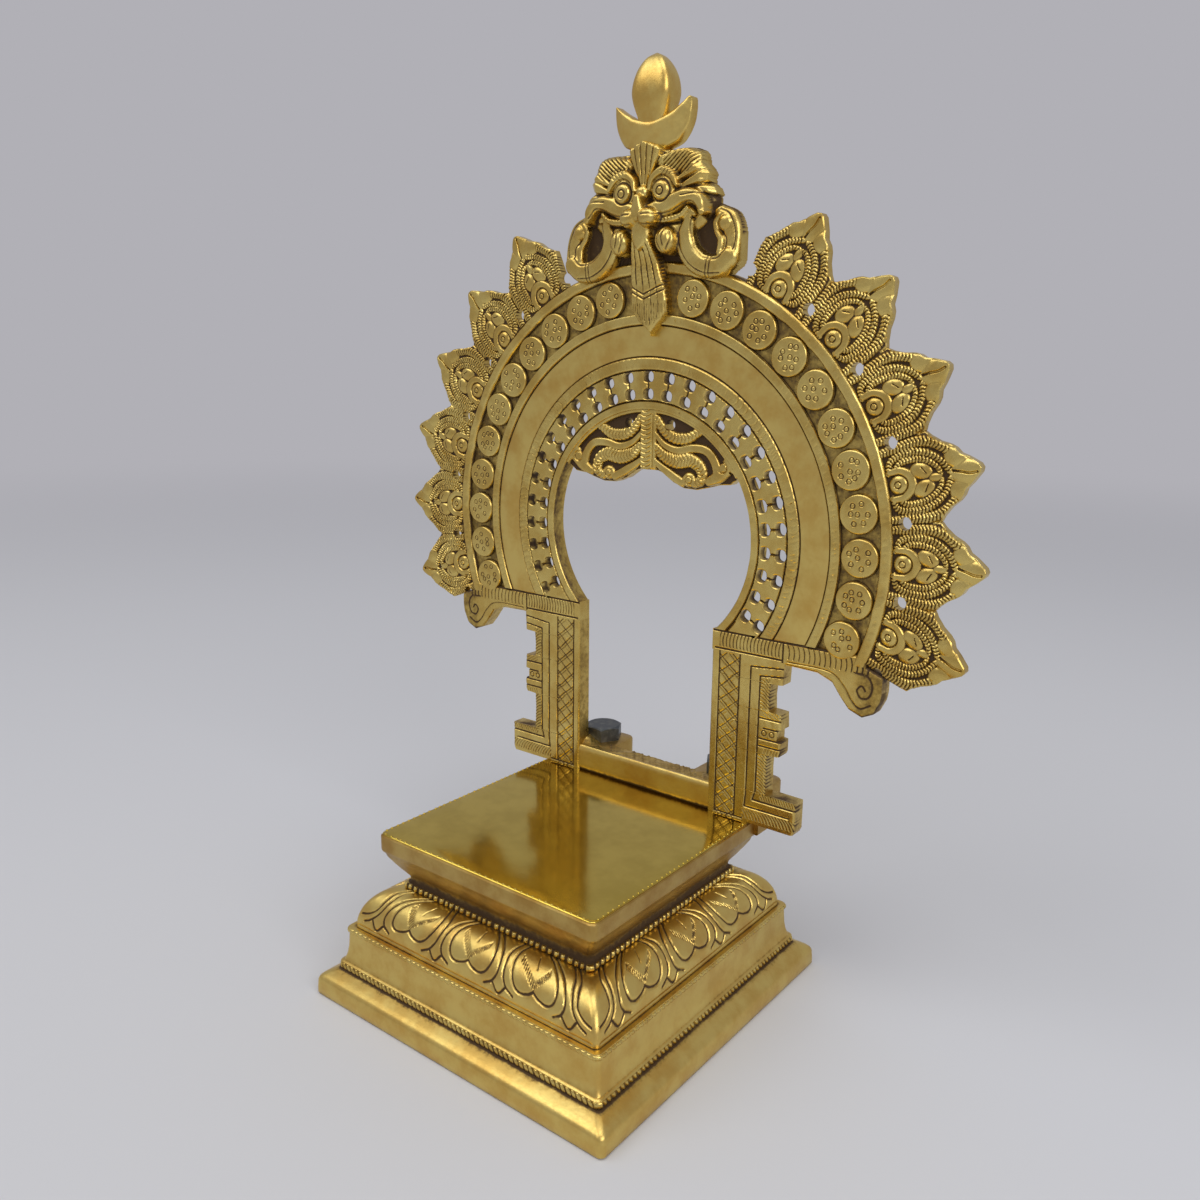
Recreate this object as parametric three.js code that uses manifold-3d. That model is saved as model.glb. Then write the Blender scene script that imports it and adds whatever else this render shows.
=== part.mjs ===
// Cast brass deity throne: a hollow stepped pedestal, and an upright pierced aureole bolted behind its seat.
// Millimetres. +Z is up, the front faces -Y. The origin is the middle of the pedestal's underside.

import * as THREE from 'three';
import { mergeVertices } from 'three/addons/utils/BufferGeometryUtils.js';
import Module from 'manifold-3d';

const wasm = await Module();
wasm.setup();

// Driving dimensions of the pedestal. A half width is measured from the middle to a flat side.
const PLINTH_HALF = 82.5;
const RISER_FOOT_HALF = 74;
const RISER_HEAD_HALF = 71.8;
const PLINTH_TOP = 32.3;
const CUSHION_FOOT_HALF = 69.4;
const CUSHION_HEAD_HALF = 53.7;
const CUSHION_TOP = 50;
const SEAT_HALF = 60.9;
const SEAT_EDGE = 69;
const SEAT_TOP = 77;
const WALL = 3.6;
const CORNER_RADIUS = 2.6;
const INNER_CORNER_RADIUS = 2;
const BEAD_PROUD = 0.9;
const BEAD_ROW_HEIGHT = 2;
const FOOT_SLAB_TOP = 13.2;
const NECK_DEPTH = 1.4;

// Driving dimensions of the aureole.
const FRONT_Y = 51.4;
const PLATE_BACK_Y = 59.2;
const GROUND_Y = 53.4;
const BAND_Y = 52;
const RING_CENTRE_Z = 203.5;
const OPENING_RADIUS = 55.5;
const RIM_RADIUS = 59.5;
const LATTICE_RADIUS = 73;
const RIDGE_RADIUS = 78.7;
const BAND_RADIUS = 92.5;
const CHANNEL_RADIUS = 97.3;
const CHANNEL_OUTER_RADIUS = 113.8;
const RIDGE_OUTER_RADIUS = 119.3;
const NOTCH_RADIUS = 138;
const TIP_RADIUS = 156;
const PETALS_A_SIDE = 6;
const FIRST_PETAL = 31;
const PETAL_STEP = 14.6;
const PETAL_HOLE_RING = 124.5;
const PETAL_HOLE_RADIUS = 2.6;
const DISCS_A_SIDE = 11;
const FIRST_DISC = 12.2;
const DISC_STEP = 9.65;
const DISC_RING = 105.6;
const DISC_RADIUS = 7.9;
const LATTICE_STEP = 9.2;
const LATTICE_HOLES = 27;
const LATTICE_RINGS = [62.6, 70.2];
const LATTICE_HOLE_RADIUS = 2.6;
const LATTICE_BACK_Y = 56.2;
const LINTEL_HOLE_X = 11.5;
const LINTEL_HOLE_Z = 252.8;
const LINTEL_HOLE_RADIUS = 2.4;
const BRACKET_TOP = 164.5;
const BRACKET_BOTTOM = 155;
const BRACKET_REACH = 104;
const RAISED_DEPTH = 3;
const LEG_INNER = 38.5;
const LEG_OUTER = 68;
const BULGE_OUTER = 74.7;
const FOOT_OUTER = 83;
const CROSSBAR_TOP = 90;
const CROSSBAR_BACK_Y = 62.4;
const OUTER_BACK_Y = 56.2;
const MASK_TOP = 368;
const CRESCENT_FRONT_Y = 48.4;
const CRESCENT_BACK_Y = 55.8;
const CRESCENT_BOW_RADIUS = 66;
const BUD_Y = 53.6;
const BUD_DEPTH_SHARE = 0.72;
const FINIAL_TIP = 406;

// Driving dimensions of the fastenings: M10 hexagon bolts and nuts behind the aureole, M6 tie screws inside.
const BOLT_X = 36.7;
const BOLT_Y = 69.6;
const BOLT_RADIUS = 4.9;
const BOLT_BORE_RADIUS = 5.5;
const BOLT_LENGTH = 35;
const HEX_FLATS = 17;
const HEAD_HEIGHT = 7;
const HEAD_CHAMFER_RADIUS = 8;
const HEAD_CHAMFER_DEGREES = 30;
const NUT_HEIGHT = 8.4;
const LUG_INNER = 23.5;
const LUG_OUTER = 63;
const LUG_BACK_Y = 80.5;
const LUG_CORNER = 5;
const SCREW_PLACE = 38;
const SCREW_RADIUS = 2.9;
const SCREW_BORE_RADIUS = 3.3;
const BOSS_RADIUS = 7;
const SCREW_HEAD_RADIUS = 5.5;
const SCREW_HEAD_HEIGHT = 3.5;
const SCREW_FLOOR = 5;
const RIVET_PLACES = [[-18, 352], [18, 352], [0, 331]];
const RIVET_RADIUS = 2;
const RIVET_BORE_RADIUS = 2.4;
const RIVET_DEPTH = 3.4;

const BRASS = { color: 0xb89445, roughness: 0.32, metalness: 1 };
const POLISHED_BRASS = { color: 0xc9a24c, roughness: 0.18, metalness: 1 };
const STEEL = { color: 0x3c3e40, roughness: 0.45, metalness: 1 };

// Solids and the geometry that shows them

function solidOf(geometry) {
  const bare = new THREE.BufferGeometry();
  bare.setAttribute('position', geometry.getAttribute('position').clone());
  if (geometry.index) bare.setIndex(geometry.index.clone());
  const merged = mergeVertices(bare, 1e-4);
  const mesh = new wasm.Mesh({
    numProp: 3,
    vertProperties: new Float32Array(merged.getAttribute('position').array),
    triVerts: new Uint32Array(merged.index.array),
  });
  return new wasm.Manifold(mesh);
}

function geometryOf(solid) {
  const mesh = solid.getMesh();
  const geometry = new THREE.BufferGeometry();
  geometry.setAttribute('position', new THREE.BufferAttribute(new Float32Array(mesh.vertProperties), 3));
  geometry.setIndex(new THREE.BufferAttribute(new Uint32Array(mesh.triVerts), 1));
  geometry.computeVertexNormals();
  return geometry;
}

function joined(solids) {
  return solids.reduce((whole, next) => whole.add(next));
}

function cutBy(solid, cutters) {
  return cutters.reduce((rest, cutter) => rest.subtract(cutter), solid);
}

// Square stacks: rounded squares of given half width and height, one above the other, closed at both ends

function squareStack(stations, cornerRadius = CORNER_RADIUS, cornerSteps = 4) {
  const ringSize = 4 * (cornerSteps + 1);
  const positions = [];
  for (const [half, z] of stations) {
    const radius = Math.min(cornerRadius, half * 0.5);
    for (let corner = 0; corner < 4; corner += 1) {
      for (let step = 0; step <= cornerSteps; step += 1) {
        const angle = (corner + step / cornerSteps) * Math.PI / 2;
        const across = Math.sign(Math.cos((corner + 0.5) * Math.PI / 2));
        const along = Math.sign(Math.sin((corner + 0.5) * Math.PI / 2));
        const x = across * (half - radius) + radius * Math.cos(angle);
        const y = along * (half - radius) + radius * Math.sin(angle);
        positions.push(x, y, z);
      }
    }
  }
  const bottomCentre = positions.length / 3;
  positions.push(0, 0, stations[0][1]);
  const topCentre = bottomCentre + 1;
  positions.push(0, 0, stations[stations.length - 1][1]);
  const index = [];
  for (let k = 0; k < ringSize; k += 1) {
    const next = (k + 1) % ringSize;
    index.push(bottomCentre, next, k);
    for (let row = 0; row + 1 < stations.length; row += 1) {
      const low = row * ringSize;
      const high = low + ringSize;
      index.push(low + k, low + next, high + next, low + k, high + next, high + k);
    }
    const last = (stations.length - 1) * ringSize;
    index.push(topCentre, last + k, last + next);
  }
  const geometry = new THREE.BufferGeometry();
  geometry.setAttribute('position', new THREE.Float32BufferAttribute(positions, 3));
  geometry.setIndex(index);
  return solidOf(geometry);
}

function block(width, depth, height, x, y, z) {
  return solidOf(new THREE.BoxGeometry(width, depth, height).translate(x, y, z));
}

// A round bar standing along Z from z0 to z1.
function upright(radius, z0, z1, x, y, sides = 16) {
  const bar = new THREE.CylinderGeometry(radius, radius, z1 - z0, sides);
  return solidOf(bar.rotateX(Math.PI / 2).translate(x, y, (z0 + z1) / 2));
}

// A round bar lying along Y from y0 to y1.
function lying(radius, y0, y1, x, z, sides = 10) {
  const bar = new THREE.CylinderGeometry(radius, radius, y1 - y0, sides);
  return solidOf(bar.translate(x, (y0 + y1) / 2, z));
}

// Pedestal

function plinthCasting() {
  const outside = squareStack([
    [PLINTH_HALF, 0], [PLINTH_HALF - 0.4, 7.2], [PLINTH_HALF - 1.4, 9.6], [PLINTH_HALF - 3.8, 11.8],
    [PLINTH_HALF - 7, FOOT_SLAB_TOP - 0.2], [RISER_FOOT_HALF + BEAD_PROUD, FOOT_SLAB_TOP],
    [RISER_FOOT_HALF + BEAD_PROUD, FOOT_SLAB_TOP + BEAD_ROW_HEIGHT],
    [RISER_FOOT_HALF, FOOT_SLAB_TOP + BEAD_ROW_HEIGHT + 0.6],
    [RISER_HEAD_HALF, PLINTH_TOP - BEAD_ROW_HEIGHT - 0.4],
    [RISER_HEAD_HALF + BEAD_PROUD, PLINTH_TOP - BEAD_ROW_HEIGHT], [RISER_HEAD_HALF + BEAD_PROUD, PLINTH_TOP],
  ]);
  const inside = squareStack([
    [PLINTH_HALF - WALL - 0.4, -1], [PLINTH_HALF - WALL - 0.4, 6], [RISER_FOOT_HALF - WALL, 13],
    [RISER_HEAD_HALF - WALL, PLINTH_TOP - SCREW_FLOOR],
  ], INNER_CORNER_RADIUS);
  const windowHalf = 56;
  const window = squareStack([[windowHalf, PLINTH_TOP - SCREW_FLOOR - 1], [windowHalf, PLINTH_TOP + 1]]);
  const padWidth = 22;
  const padShift = 1.18;
  const pads = screwPlaces().map(([x, y]) => block(
    padWidth, padWidth, SCREW_FLOOR, x * padShift, y * padShift, PLINTH_TOP - SCREW_FLOOR / 2));
  const bores = screwPlaces().map(([x, y]) => upright(
    SCREW_BORE_RADIUS, PLINTH_TOP - SCREW_FLOOR - 1, PLINTH_TOP + 1, x, y));
  return cutBy(joined([cutBy(outside, [inside, window]), ...pads]), bores);
}

function lotusCushion() {
  const reach = CUSHION_FOOT_HALF - CUSHION_HEAD_HALF;
  const rise = CUSHION_TOP - PLINTH_TOP;
  const steps = 7;
  const outside = squareStack(Array.from({ length: steps + 1 }, (_, k) => {
    const turn = (k / steps) * Math.PI / 2;
    return [CUSHION_HEAD_HALF + reach * Math.cos(turn), PLINTH_TOP + rise * Math.sin(turn)];
  }));
  const inside = squareStack([
    [CUSHION_FOOT_HALF - WALL, PLINTH_TOP - 1], [CUSHION_FOOT_HALF - WALL, PLINTH_TOP + 5],
    [CUSHION_HEAD_HALF - WALL, CUSHION_TOP - 4], [CUSHION_HEAD_HALF - WALL - 2, CUSHION_TOP + 1],
  ], INNER_CORNER_RADIUS);
  return outside.subtract(inside);
}

function screwPlaces() {
  return [[-1, -1], [1, -1], [1, 1], [-1, 1]].map(([x, y]) => [x * SCREW_PLACE, y * SCREW_PLACE]);
}

function seatCasting() {
  const outside = squareStack([
    [CUSHION_HEAD_HALF + BEAD_PROUD, CUSHION_TOP], [CUSHION_HEAD_HALF + BEAD_PROUD, CUSHION_TOP + 2.6],
    [CUSHION_HEAD_HALF - NECK_DEPTH, CUSHION_TOP + 3], [CUSHION_HEAD_HALF - NECK_DEPTH, CUSHION_TOP + 6],
    [CUSHION_HEAD_HALF + 0.4, CUSHION_TOP + 7.6], [SEAT_HALF - 0.6, SEAT_EDGE - 1.2], [SEAT_HALF, SEAT_EDGE],
    [SEAT_HALF, SEAT_TOP - 0.6], [SEAT_HALF - 0.6, SEAT_TOP],
  ]);
  const hollow = squareStack([
    [CUSHION_HEAD_HALF - WALL - 2, CUSHION_TOP - 1], [CUSHION_HEAD_HALF - WALL - 2, SEAT_EDGE],
  ], INNER_CORNER_RADIUS);
  const bosses = screwPlaces().map(([x, y]) => upright(BOSS_RADIUS, PLINTH_TOP, SEAT_EDGE + 1, x, y, 20));
  const bores = screwPlaces().map(([x, y]) => (
    upright(SCREW_BORE_RADIUS, PLINTH_TOP - 1, SEAT_EDGE - 8, x, y)));
  const ears = [-1, 1].map((side) => earSolid(side, SEAT_EDGE, SEAT_TOP, SEAT_HALF - 4));
  const earBores = [-1, 1].map((side) => upright(
    BOLT_BORE_RADIUS, SEAT_EDGE - 1, SEAT_TOP + 1, side * BOLT_X, BOLT_Y));
  return cutBy(joined([cutBy(outside, [hollow]), ...bosses, ...ears]), [...bores, ...earBores]);
}

// A flat ear on one side, with rounded rear corners, from startY back to the lugs' rear face.
function earSolid(side, z0, z1, startY) {
  const innerX = Math.min(side * LUG_INNER, side * LUG_OUTER);
  const outerX = Math.max(side * LUG_INNER, side * LUG_OUTER);
  const shape = new THREE.Shape();
  shape.moveTo(innerX, startY);
  shape.lineTo(outerX, startY);
  shape.lineTo(outerX, LUG_BACK_Y - LUG_CORNER);
  shape.absarc(outerX - LUG_CORNER, LUG_BACK_Y - LUG_CORNER, LUG_CORNER, 0, Math.PI / 2);
  shape.absarc(innerX + LUG_CORNER, LUG_BACK_Y - LUG_CORNER, LUG_CORNER, Math.PI / 2, Math.PI);
  shape.lineTo(innerX, startY);
  const plate = new THREE.ExtrudeGeometry(shape, { depth: z1 - z0, bevelEnabled: false, curveSegments: 4 });
  return solidOf(plate.translate(0, 0, z0));
}

// Aureole. Its outline is drawn in the X-Z plane, and polar() takes degrees from straight up.

function polar(radius, degrees) {
  const angle = THREE.MathUtils.degToRad(degrees);
  return [radius * Math.sin(angle), RING_CENTRE_Z + radius * Math.cos(angle)];
}

// Turns an outline in the X-Z plane into a slab between two depths.
function slab(shape, frontY, backY, curveSegments = 10) {
  const options = { depth: backY - frontY, bevelEnabled: false, curveSegments };
  const geometry = new THREE.ExtrudeGeometry(shape, options);
  return solidOf(geometry.rotateX(Math.PI / 2).translate(0, backY, 0));
}

function closedShape(points) {
  return new THREE.Shape(points.map(([x, z]) => new THREE.Vector2(x, z)));
}

function mirrored(points) {
  return [...points, ...points.map(([x, z]) => [-x, z]).reverse()];
}

function petalEdge(centre) {
  const half = PETAL_STEP / 2;
  return [
    [half, NOTCH_RADIUS], [half * 0.66, NOTCH_RADIUS + 4.5], [half * 0.45, NOTCH_RADIUS + 9],
    [half * 0.2, TIP_RADIUS - 4.5], [0, TIP_RADIUS], [-half * 0.2, TIP_RADIUS - 4.5],
    [-half * 0.45, NOTCH_RADIUS + 9], [-half * 0.66, NOTCH_RADIUS + 4.5],
  ].map(([turn, radius]) => polar(radius, centre + turn));
}

function petalCentres() {
  return Array.from({ length: PETALS_A_SIDE }, (_, k) => FIRST_PETAL + k * PETAL_STEP);
}

// The right half of the plate's outline, from the foot up to the crest.
function plateEdge() {
  const leg = [
    [LEG_INNER, SEAT_TOP], [LEG_OUTER, SEAT_TOP], [FOOT_OUTER - 3, SEAT_TOP + 1], [FOOT_OUTER, SEAT_TOP + 4],
    [FOOT_OUTER, SEAT_TOP + 14], [FOOT_OUTER - 2, SEAT_TOP + 16], [LEG_OUTER, SEAT_TOP + 16],
    [LEG_OUTER, 111], [BULGE_OUTER - 2, 113], [BULGE_OUTER, 115], [BULGE_OUTER, 127],
    [BULGE_OUTER - 2, 130], [LEG_OUTER, 132], [LEG_OUTER, 144.5], [BULGE_OUTER, 147], [BULGE_OUTER, 153.8],
  ];
  const hook = [
    [91, 153.8], [97, 151], [101, 145.5], [105, 140.5], [111, 138.5], [116, 141], [119, 148], [118.5, 153],
  ];
  const petals = petalCentres().reverse().flatMap((centre) => petalEdge(centre));
  const crest = [
    [46.4, 330], [45.4, 332], [42.4, 336], [41.4, 340], [36.4, 344], [32, 348], [30.3, 352], [29.5, 357],
    [27.5, 362], [25, 366], [10, MASK_TOP],
  ];
  return [...leg, ...hook, ...petals, ...crest];
}

// The opening is a circle that runs down into the gap between the legs.
function openingShape() {
  const shape = new THREE.Shape();
  const meetAngle = Math.asin(LEG_INNER / OPENING_RADIUS);
  const end = -Math.PI / 2 + meetAngle;
  shape.moveTo(-LEG_INNER, CROSSBAR_TOP);
  shape.lineTo(LEG_INNER, CROSSBAR_TOP);
  shape.absarc(0, RING_CENTRE_Z, OPENING_RADIUS, end, Math.PI - end, false);
  shape.lineTo(-LEG_INNER, CROSSBAR_TOP);
  return shape;
}

// A band of the rings, whose ends run a little way down behind the face of the brackets.
function ringBand(inner, outer, frontY, backY, steps = 44) {
  const endDepth = 2;
  const halfAngle = THREE.MathUtils.radToDeg(Math.acos((BRACKET_TOP - endDepth - RING_CENTRE_Z) / outer));
  const arc = (radius, from, to) => Array.from({ length: steps + 1 }, (_, k) => (
    polar(radius, from + (to - from) * k / steps)));
  return slab(closedShape([...arc(outer, -halfAngle, halfAngle), ...arc(inner, halfAngle, -halfAngle)]),
    frontY, backY);
}

function latticeBores() {
  const first = -LATTICE_STEP * (LATTICE_HOLES - 1) / 2;
  return LATTICE_RINGS.flatMap((radius) => Array.from({ length: LATTICE_HOLES }, (_, k) => {
    const [x, z] = polar(radius, first + k * LATTICE_STEP);
    return lying(LATTICE_HOLE_RADIUS, FRONT_Y - 1, PLATE_BACK_Y + 1, x, z, 8);
  }));
}

function petalBores() {
  return petalCentres().flatMap((centre) => [-1, 1].map((side) => {
    const [x, z] = polar(PETAL_HOLE_RING, side * (centre - PETAL_STEP / 2));
    return lying(PETAL_HOLE_RADIUS, FRONT_Y - 1, PLATE_BACK_Y + 1, x, z, 8);
  }));
}

function discs() {
  return Array.from({ length: DISCS_A_SIDE }, (_, k) => FIRST_DISC + k * DISC_STEP).flatMap((angle) => (
    [-1, 1].map((side) => {
      const [x, z] = polar(DISC_RING, side * angle);
      return lying(DISC_RADIUS, FRONT_Y + 0.2, GROUND_Y + 0.5, x, z, 12);
    })));
}

function petalLeaves() {
  const leaf = [
    [0, 120.5], [5.4, 127], [5.2, 137], [3, 146], [0, 154.5], [-3, 146], [-5.2, 137], [-5.4, 127],
  ];
  return petalCentres().flatMap((centre) => [-1, 1].map((side) => (
    slab(closedShape(leaf.map(([turn, radius]) => polar(radius, side * centre + turn))),
      FRONT_Y + 0.4, GROUND_Y + 0.5))));
}

// The scroll pendant that fills the top of the opening.
function lintelPendant() {
  const lower = [
    [4, 232.5], [8, 231], [13, 227.5], [19, 225.2], [26, 225], [32, 226.5], [37, 228], [43, 228.5],
  ];
  const upper = Array.from({ length: 7 }, (_, k) => polar(OPENING_RADIUS + 1, 60 - k * 10));
  const right = [...lower, ...upper];
  const outline = [...right, ...right.slice(0, -1).map(([x, z]) => [-x, z]).reverse()];
  const bores = [-1, 1].map((side) => lying(
    LINTEL_HOLE_RADIUS, FRONT_Y - 1, PLATE_BACK_Y + 1, side * LINTEL_HOLE_X, LINTEL_HOLE_Z));
  return cutBy(slab(closedShape(outline), GROUND_Y - 1, PLATE_BACK_Y - 1), bores);
}

// Beyond the rings the plate is thinner, and its back is cut away there.
function outerRecess() {
  const depth = 2 * (PLATE_BACK_Y - OUTER_BACK_Y);
  const middleY = OUTER_BACK_Y + depth / 2;
  const height = FINIAL_TIP - BRACKET_TOP;
  const above = block(4 * RIDGE_OUTER_RADIUS, depth, height, 0, middleY, BRACKET_TOP + height / 2);
  const rings = lying(RIDGE_OUTER_RADIUS, OUTER_BACK_Y - 1, PLATE_BACK_Y + depth, 0, RING_CENTRE_Z, 96);
  const below = [-1, 1].map((side) => block(
    RIDGE_OUTER_RADIUS, depth, height / 2, side * 1.5 * RIDGE_OUTER_RADIUS, middleY,
    BRACKET_TOP - height / 4));
  return joined([above.subtract(rings), ...below]);
}

function aureolePlate() {
  const ground = slab(closedShape(mirrored(plateEdge())), GROUND_Y, PLATE_BACK_Y);
  const raised = [
    ringBand(OPENING_RADIUS, RIM_RADIUS, FRONT_Y + 0.2, GROUND_Y + 1),
    ringBand(RIM_RADIUS - 0.2, LATTICE_RADIUS + 0.2, FRONT_Y + 0.8, GROUND_Y + 1),
    ringBand(LATTICE_RADIUS, RIDGE_RADIUS, FRONT_Y + 0.2, GROUND_Y + 1),
    ringBand(RIDGE_RADIUS - 0.2, BAND_RADIUS + 0.2, BAND_Y, GROUND_Y + 1),
    ringBand(BAND_RADIUS, CHANNEL_RADIUS, FRONT_Y, GROUND_Y + 1),
    ringBand(CHANNEL_OUTER_RADIUS, RIDGE_OUTER_RADIUS, FRONT_Y, GROUND_Y + 1),
    block(2 * BRACKET_REACH, RAISED_DEPTH, BRACKET_TOP - BRACKET_BOTTOM, 0, FRONT_Y + RAISED_DEPTH / 2,
      (BRACKET_TOP + BRACKET_BOTTOM) / 2),
    ...[-1, 1].map((side) => block(
      LEG_OUTER - LEG_INNER, RAISED_DEPTH, BRACKET_TOP - SEAT_TOP, side * (LEG_OUTER + LEG_INNER) / 2,
      FRONT_Y + RAISED_DEPTH / 2, (BRACKET_TOP + SEAT_TOP) / 2)),
    ...discs(),
    ...petalLeaves(),
  ];
  const opening = slab(openingShape(), FRONT_Y - 1, PLATE_BACK_Y + 1, 44);
  const latticeRecess = ringBand(RIM_RADIUS, LATTICE_RADIUS, LATTICE_BACK_Y, PLATE_BACK_Y + 1);
  const crossbarRib = block(
    2 * LEG_INNER + 2, CROSSBAR_BACK_Y - GROUND_Y, CROSSBAR_TOP - SEAT_TOP,
    0, (CROSSBAR_BACK_Y + GROUND_Y) / 2, (CROSSBAR_TOP + SEAT_TOP) / 2);
  const lugs = [-1, 1].map((side) => earSolid(side, SEAT_TOP, CROSSBAR_TOP, PLATE_BACK_Y - 2));
  const lugBores = [-1, 1].map((side) => upright(
    BOLT_BORE_RADIUS, SEAT_TOP - 1, CROSSBAR_TOP + 1, side * BOLT_X, BOLT_Y));
  const cutters = [
    opening, latticeRecess, outerRecess(), ...latticeBores(), ...petalBores(), ...rivetBores(),
  ];
  const pierced = cutBy(joined([ground, ...raised]), cutters);
  return cutBy(joined([pierced, lintelPendant(), crossbarRib, ...lugs]), lugBores);
}

// Lion mask, finial and the pins that hold the mask

function rivetBores() {
  const front = FRONT_Y - RIVET_DEPTH - 0.6;
  return RIVET_PLACES.map(([x, z]) => lying(RIVET_BORE_RADIUS, front, PLATE_BACK_Y + 1, x, z));
}

// A round boss whose middle stands proud of the plate's front, with its three radii.
function knob(x, proud, z, radiusX, radiusY, radiusZ) {
  const ball = new THREE.SphereGeometry(1, 14, 9);
  return solidOf(ball.scale(radiusX, radiusY, radiusZ).translate(x, FRONT_Y - proud, z));
}

function scrollTube(points, radius, steps, depthScale = 0.9) {
  const curve = new THREE.CatmullRomCurve3(points.map(([x, z]) => new THREE.Vector3(x, z, 0)));
  const section = new THREE.Shape();
  section.absarc(0, 0, radius, 0, 2 * Math.PI, false);
  const tube = new THREE.ExtrudeGeometry(section, { extrudePath: curve, steps, curveSegments: 4 });
  return solidOf(tube.scale(1, 1, depthScale).rotateX(Math.PI / 2).translate(0, FRONT_Y - 1, 0));
}

// One side of the mask: the tuft of hair, eye, cheek, nostril, tooth and the scroll with its knob.
function maskSide(side) {
  const scroll = [
    [20.4, 340], [18.6, 331], [20.6, 324.3], [28, 319.8], [36.4, 319.7], [42.2, 323.4], [43.2, 330],
    [40.6, 336.2], [36.6, 338],
  ].map(([x, z]) => [side * x, z]);
  return [
    knob(side * 18.2, 0, 358.8, 10, 5.8, 8),
    knob(side * 10.2, 4, 350.6, 6.2, 5.4, 6.2),
    knob(side * 16.4, 1, 344.6, 13.4, 6, 4.4),
    knob(side * 4, 6.4, 340, 4.4, 6, 3.8),
    knob(side * 12, 2, 330.2, 5, 6, 5.6),
    knob(side * 38.8, 0, 336.8, 4.2, 4.4, 4.2),
    scrollTube(scroll, 4, 22),
  ];
}

function lionMask() {
  const middle = [
    knob(0, 0, 349, 30.6, 5.6, 20),
    knob(0, 0, 362, 7.6, 6.2, 9),
    knob(0, 3, 349.8, 3.4, 5.2, 3.4),
    knob(0, 5, 343, 3.6, 7, 7.6),
    knob(0, 3, 332.6, 5, 7.4, 7),
  ];
  const tongueEdge = [[0.6, 293], [3.4, 295.2], [6, 299.5], [8.5, 306], [9.8, 314], [9.4, 321], [6.5, 330]];
  const tongue = slab(closedShape(mirrored(tongueEdge)), FRONT_Y - 4.4, FRONT_Y);
  const whole = joined([tongue, ...middle, ...maskSide(-1), ...maskSide(1)]);
  // The mask lies on the rings in its lower part and on the plate's ground above them.
  const clearance = 0.3;
  const overRings = lying(RIDGE_OUTER_RADIUS + clearance, FRONT_Y, PLATE_BACK_Y, 0, RING_CENTRE_Z, 96);
  const behind = block(200, 60, 200, 0, GROUND_Y + 30, 340);
  const aboveCrest = block(80, 80, 40, 0, FRONT_Y, MASK_TOP + 20);
  return cutBy(whole, [behind, overRings, aboveCrest, ...rivetBores()]);
}

function maskRivet([x, z]) {
  const shank = lying(RIVET_RADIUS, FRONT_Y - RIVET_DEPTH, OUTER_BACK_Y + 1, x, z, 12);
  const head = lying(RIVET_RADIUS + 1.6, OUTER_BACK_Y, OUTER_BACK_Y + 1.4, x, z, 12);
  return shank.add(head);
}

// The crescent's front is bowed in plan. The bud's level sections are rounded squares, flatter than wide.
function crescentFinial() {
  const arms = closedShape(mirrored([
    [7, MASK_TOP], [12.6, 369.6], [16, 372.2], [18.3, 375.4], [19.3, 379], [19.7, 384], [19.5, 386.6],
    [18, 386.8], [15, 384.2], [8.3, 380.6], [1, 378.8],
  ]));
  const bow = upright(
    CRESCENT_BOW_RADIUS, MASK_TOP - 1, FINIAL_TIP, 0, CRESCENT_FRONT_Y + CRESCENT_BOW_RADIUS, 120);
  const crescent = slab(arms, CRESCENT_FRONT_Y - 1, CRESCENT_BACK_Y).intersect(bow);
  const bud = squareStack([
    [5.4, 375], [6.4, 378.5], [7.9, 383], [9.3, 387], [9.9, 390], [9.4, 394], [8, 398.4], [6.2, 401.6],
    [3.8, 404.2], [0.6, FINIAL_TIP],
  ], FINIAL_TIP);
  return crescent.add(bud.scale([1, BUD_DEPTH_SHARE, 1]).translate([0, BUD_Y, 0]));
}

// Fastenings

function hexagon(height, z0, x, y) {
  const prism = new THREE.CylinderGeometry(HEX_FLATS / Math.sqrt(3), HEX_FLATS / Math.sqrt(3), height, 6);
  return solidOf(prism.rotateY(Math.PI / 6).rotateX(Math.PI / 2).translate(x, y, z0 + height / 2));
}

// The head's upper corners are turned off by a cone.
function hexBolt(x) {
  const spread = HEAD_HEIGHT / Math.tan(THREE.MathUtils.degToRad(HEAD_CHAMFER_DEGREES));
  const wide = HEAD_CHAMFER_RADIUS + spread;
  const cone = new THREE.CylinderGeometry(HEAD_CHAMFER_RADIUS, wide, HEAD_HEIGHT, 48);
  const turned = solidOf(cone.rotateX(Math.PI / 2).translate(x, BOLT_Y, CROSSBAR_TOP + HEAD_HEIGHT / 2));
  const head = hexagon(HEAD_HEIGHT, CROSSBAR_TOP, x, BOLT_Y).intersect(turned);
  return head.add(upright(BOLT_RADIUS, CROSSBAR_TOP - BOLT_LENGTH, CROSSBAR_TOP + 1, x, BOLT_Y, 20));
}

function hexNut(x) {
  const bore = upright(BOLT_RADIUS + 0.3, SEAT_EDGE - NUT_HEIGHT - 1, SEAT_EDGE + 1, x, BOLT_Y, 20);
  return hexagon(NUT_HEIGHT, SEAT_EDGE - NUT_HEIGHT, x, BOLT_Y).subtract(bore);
}

function tieScrew(x, y) {
  const under = PLINTH_TOP - SCREW_FLOOR;
  const head = upright(SCREW_HEAD_RADIUS, under - SCREW_HEAD_HEIGHT, under, x, y, 20);
  return head.add(upright(SCREW_RADIUS, under - 1, SEAT_EDGE - 10, x, y, 16));
}

// The throne

function part(name, solid, look) {
  const mesh = new THREE.Mesh(geometryOf(solid), new THREE.MeshStandardMaterial(look));
  mesh.name = name;
  return mesh;
}

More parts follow.
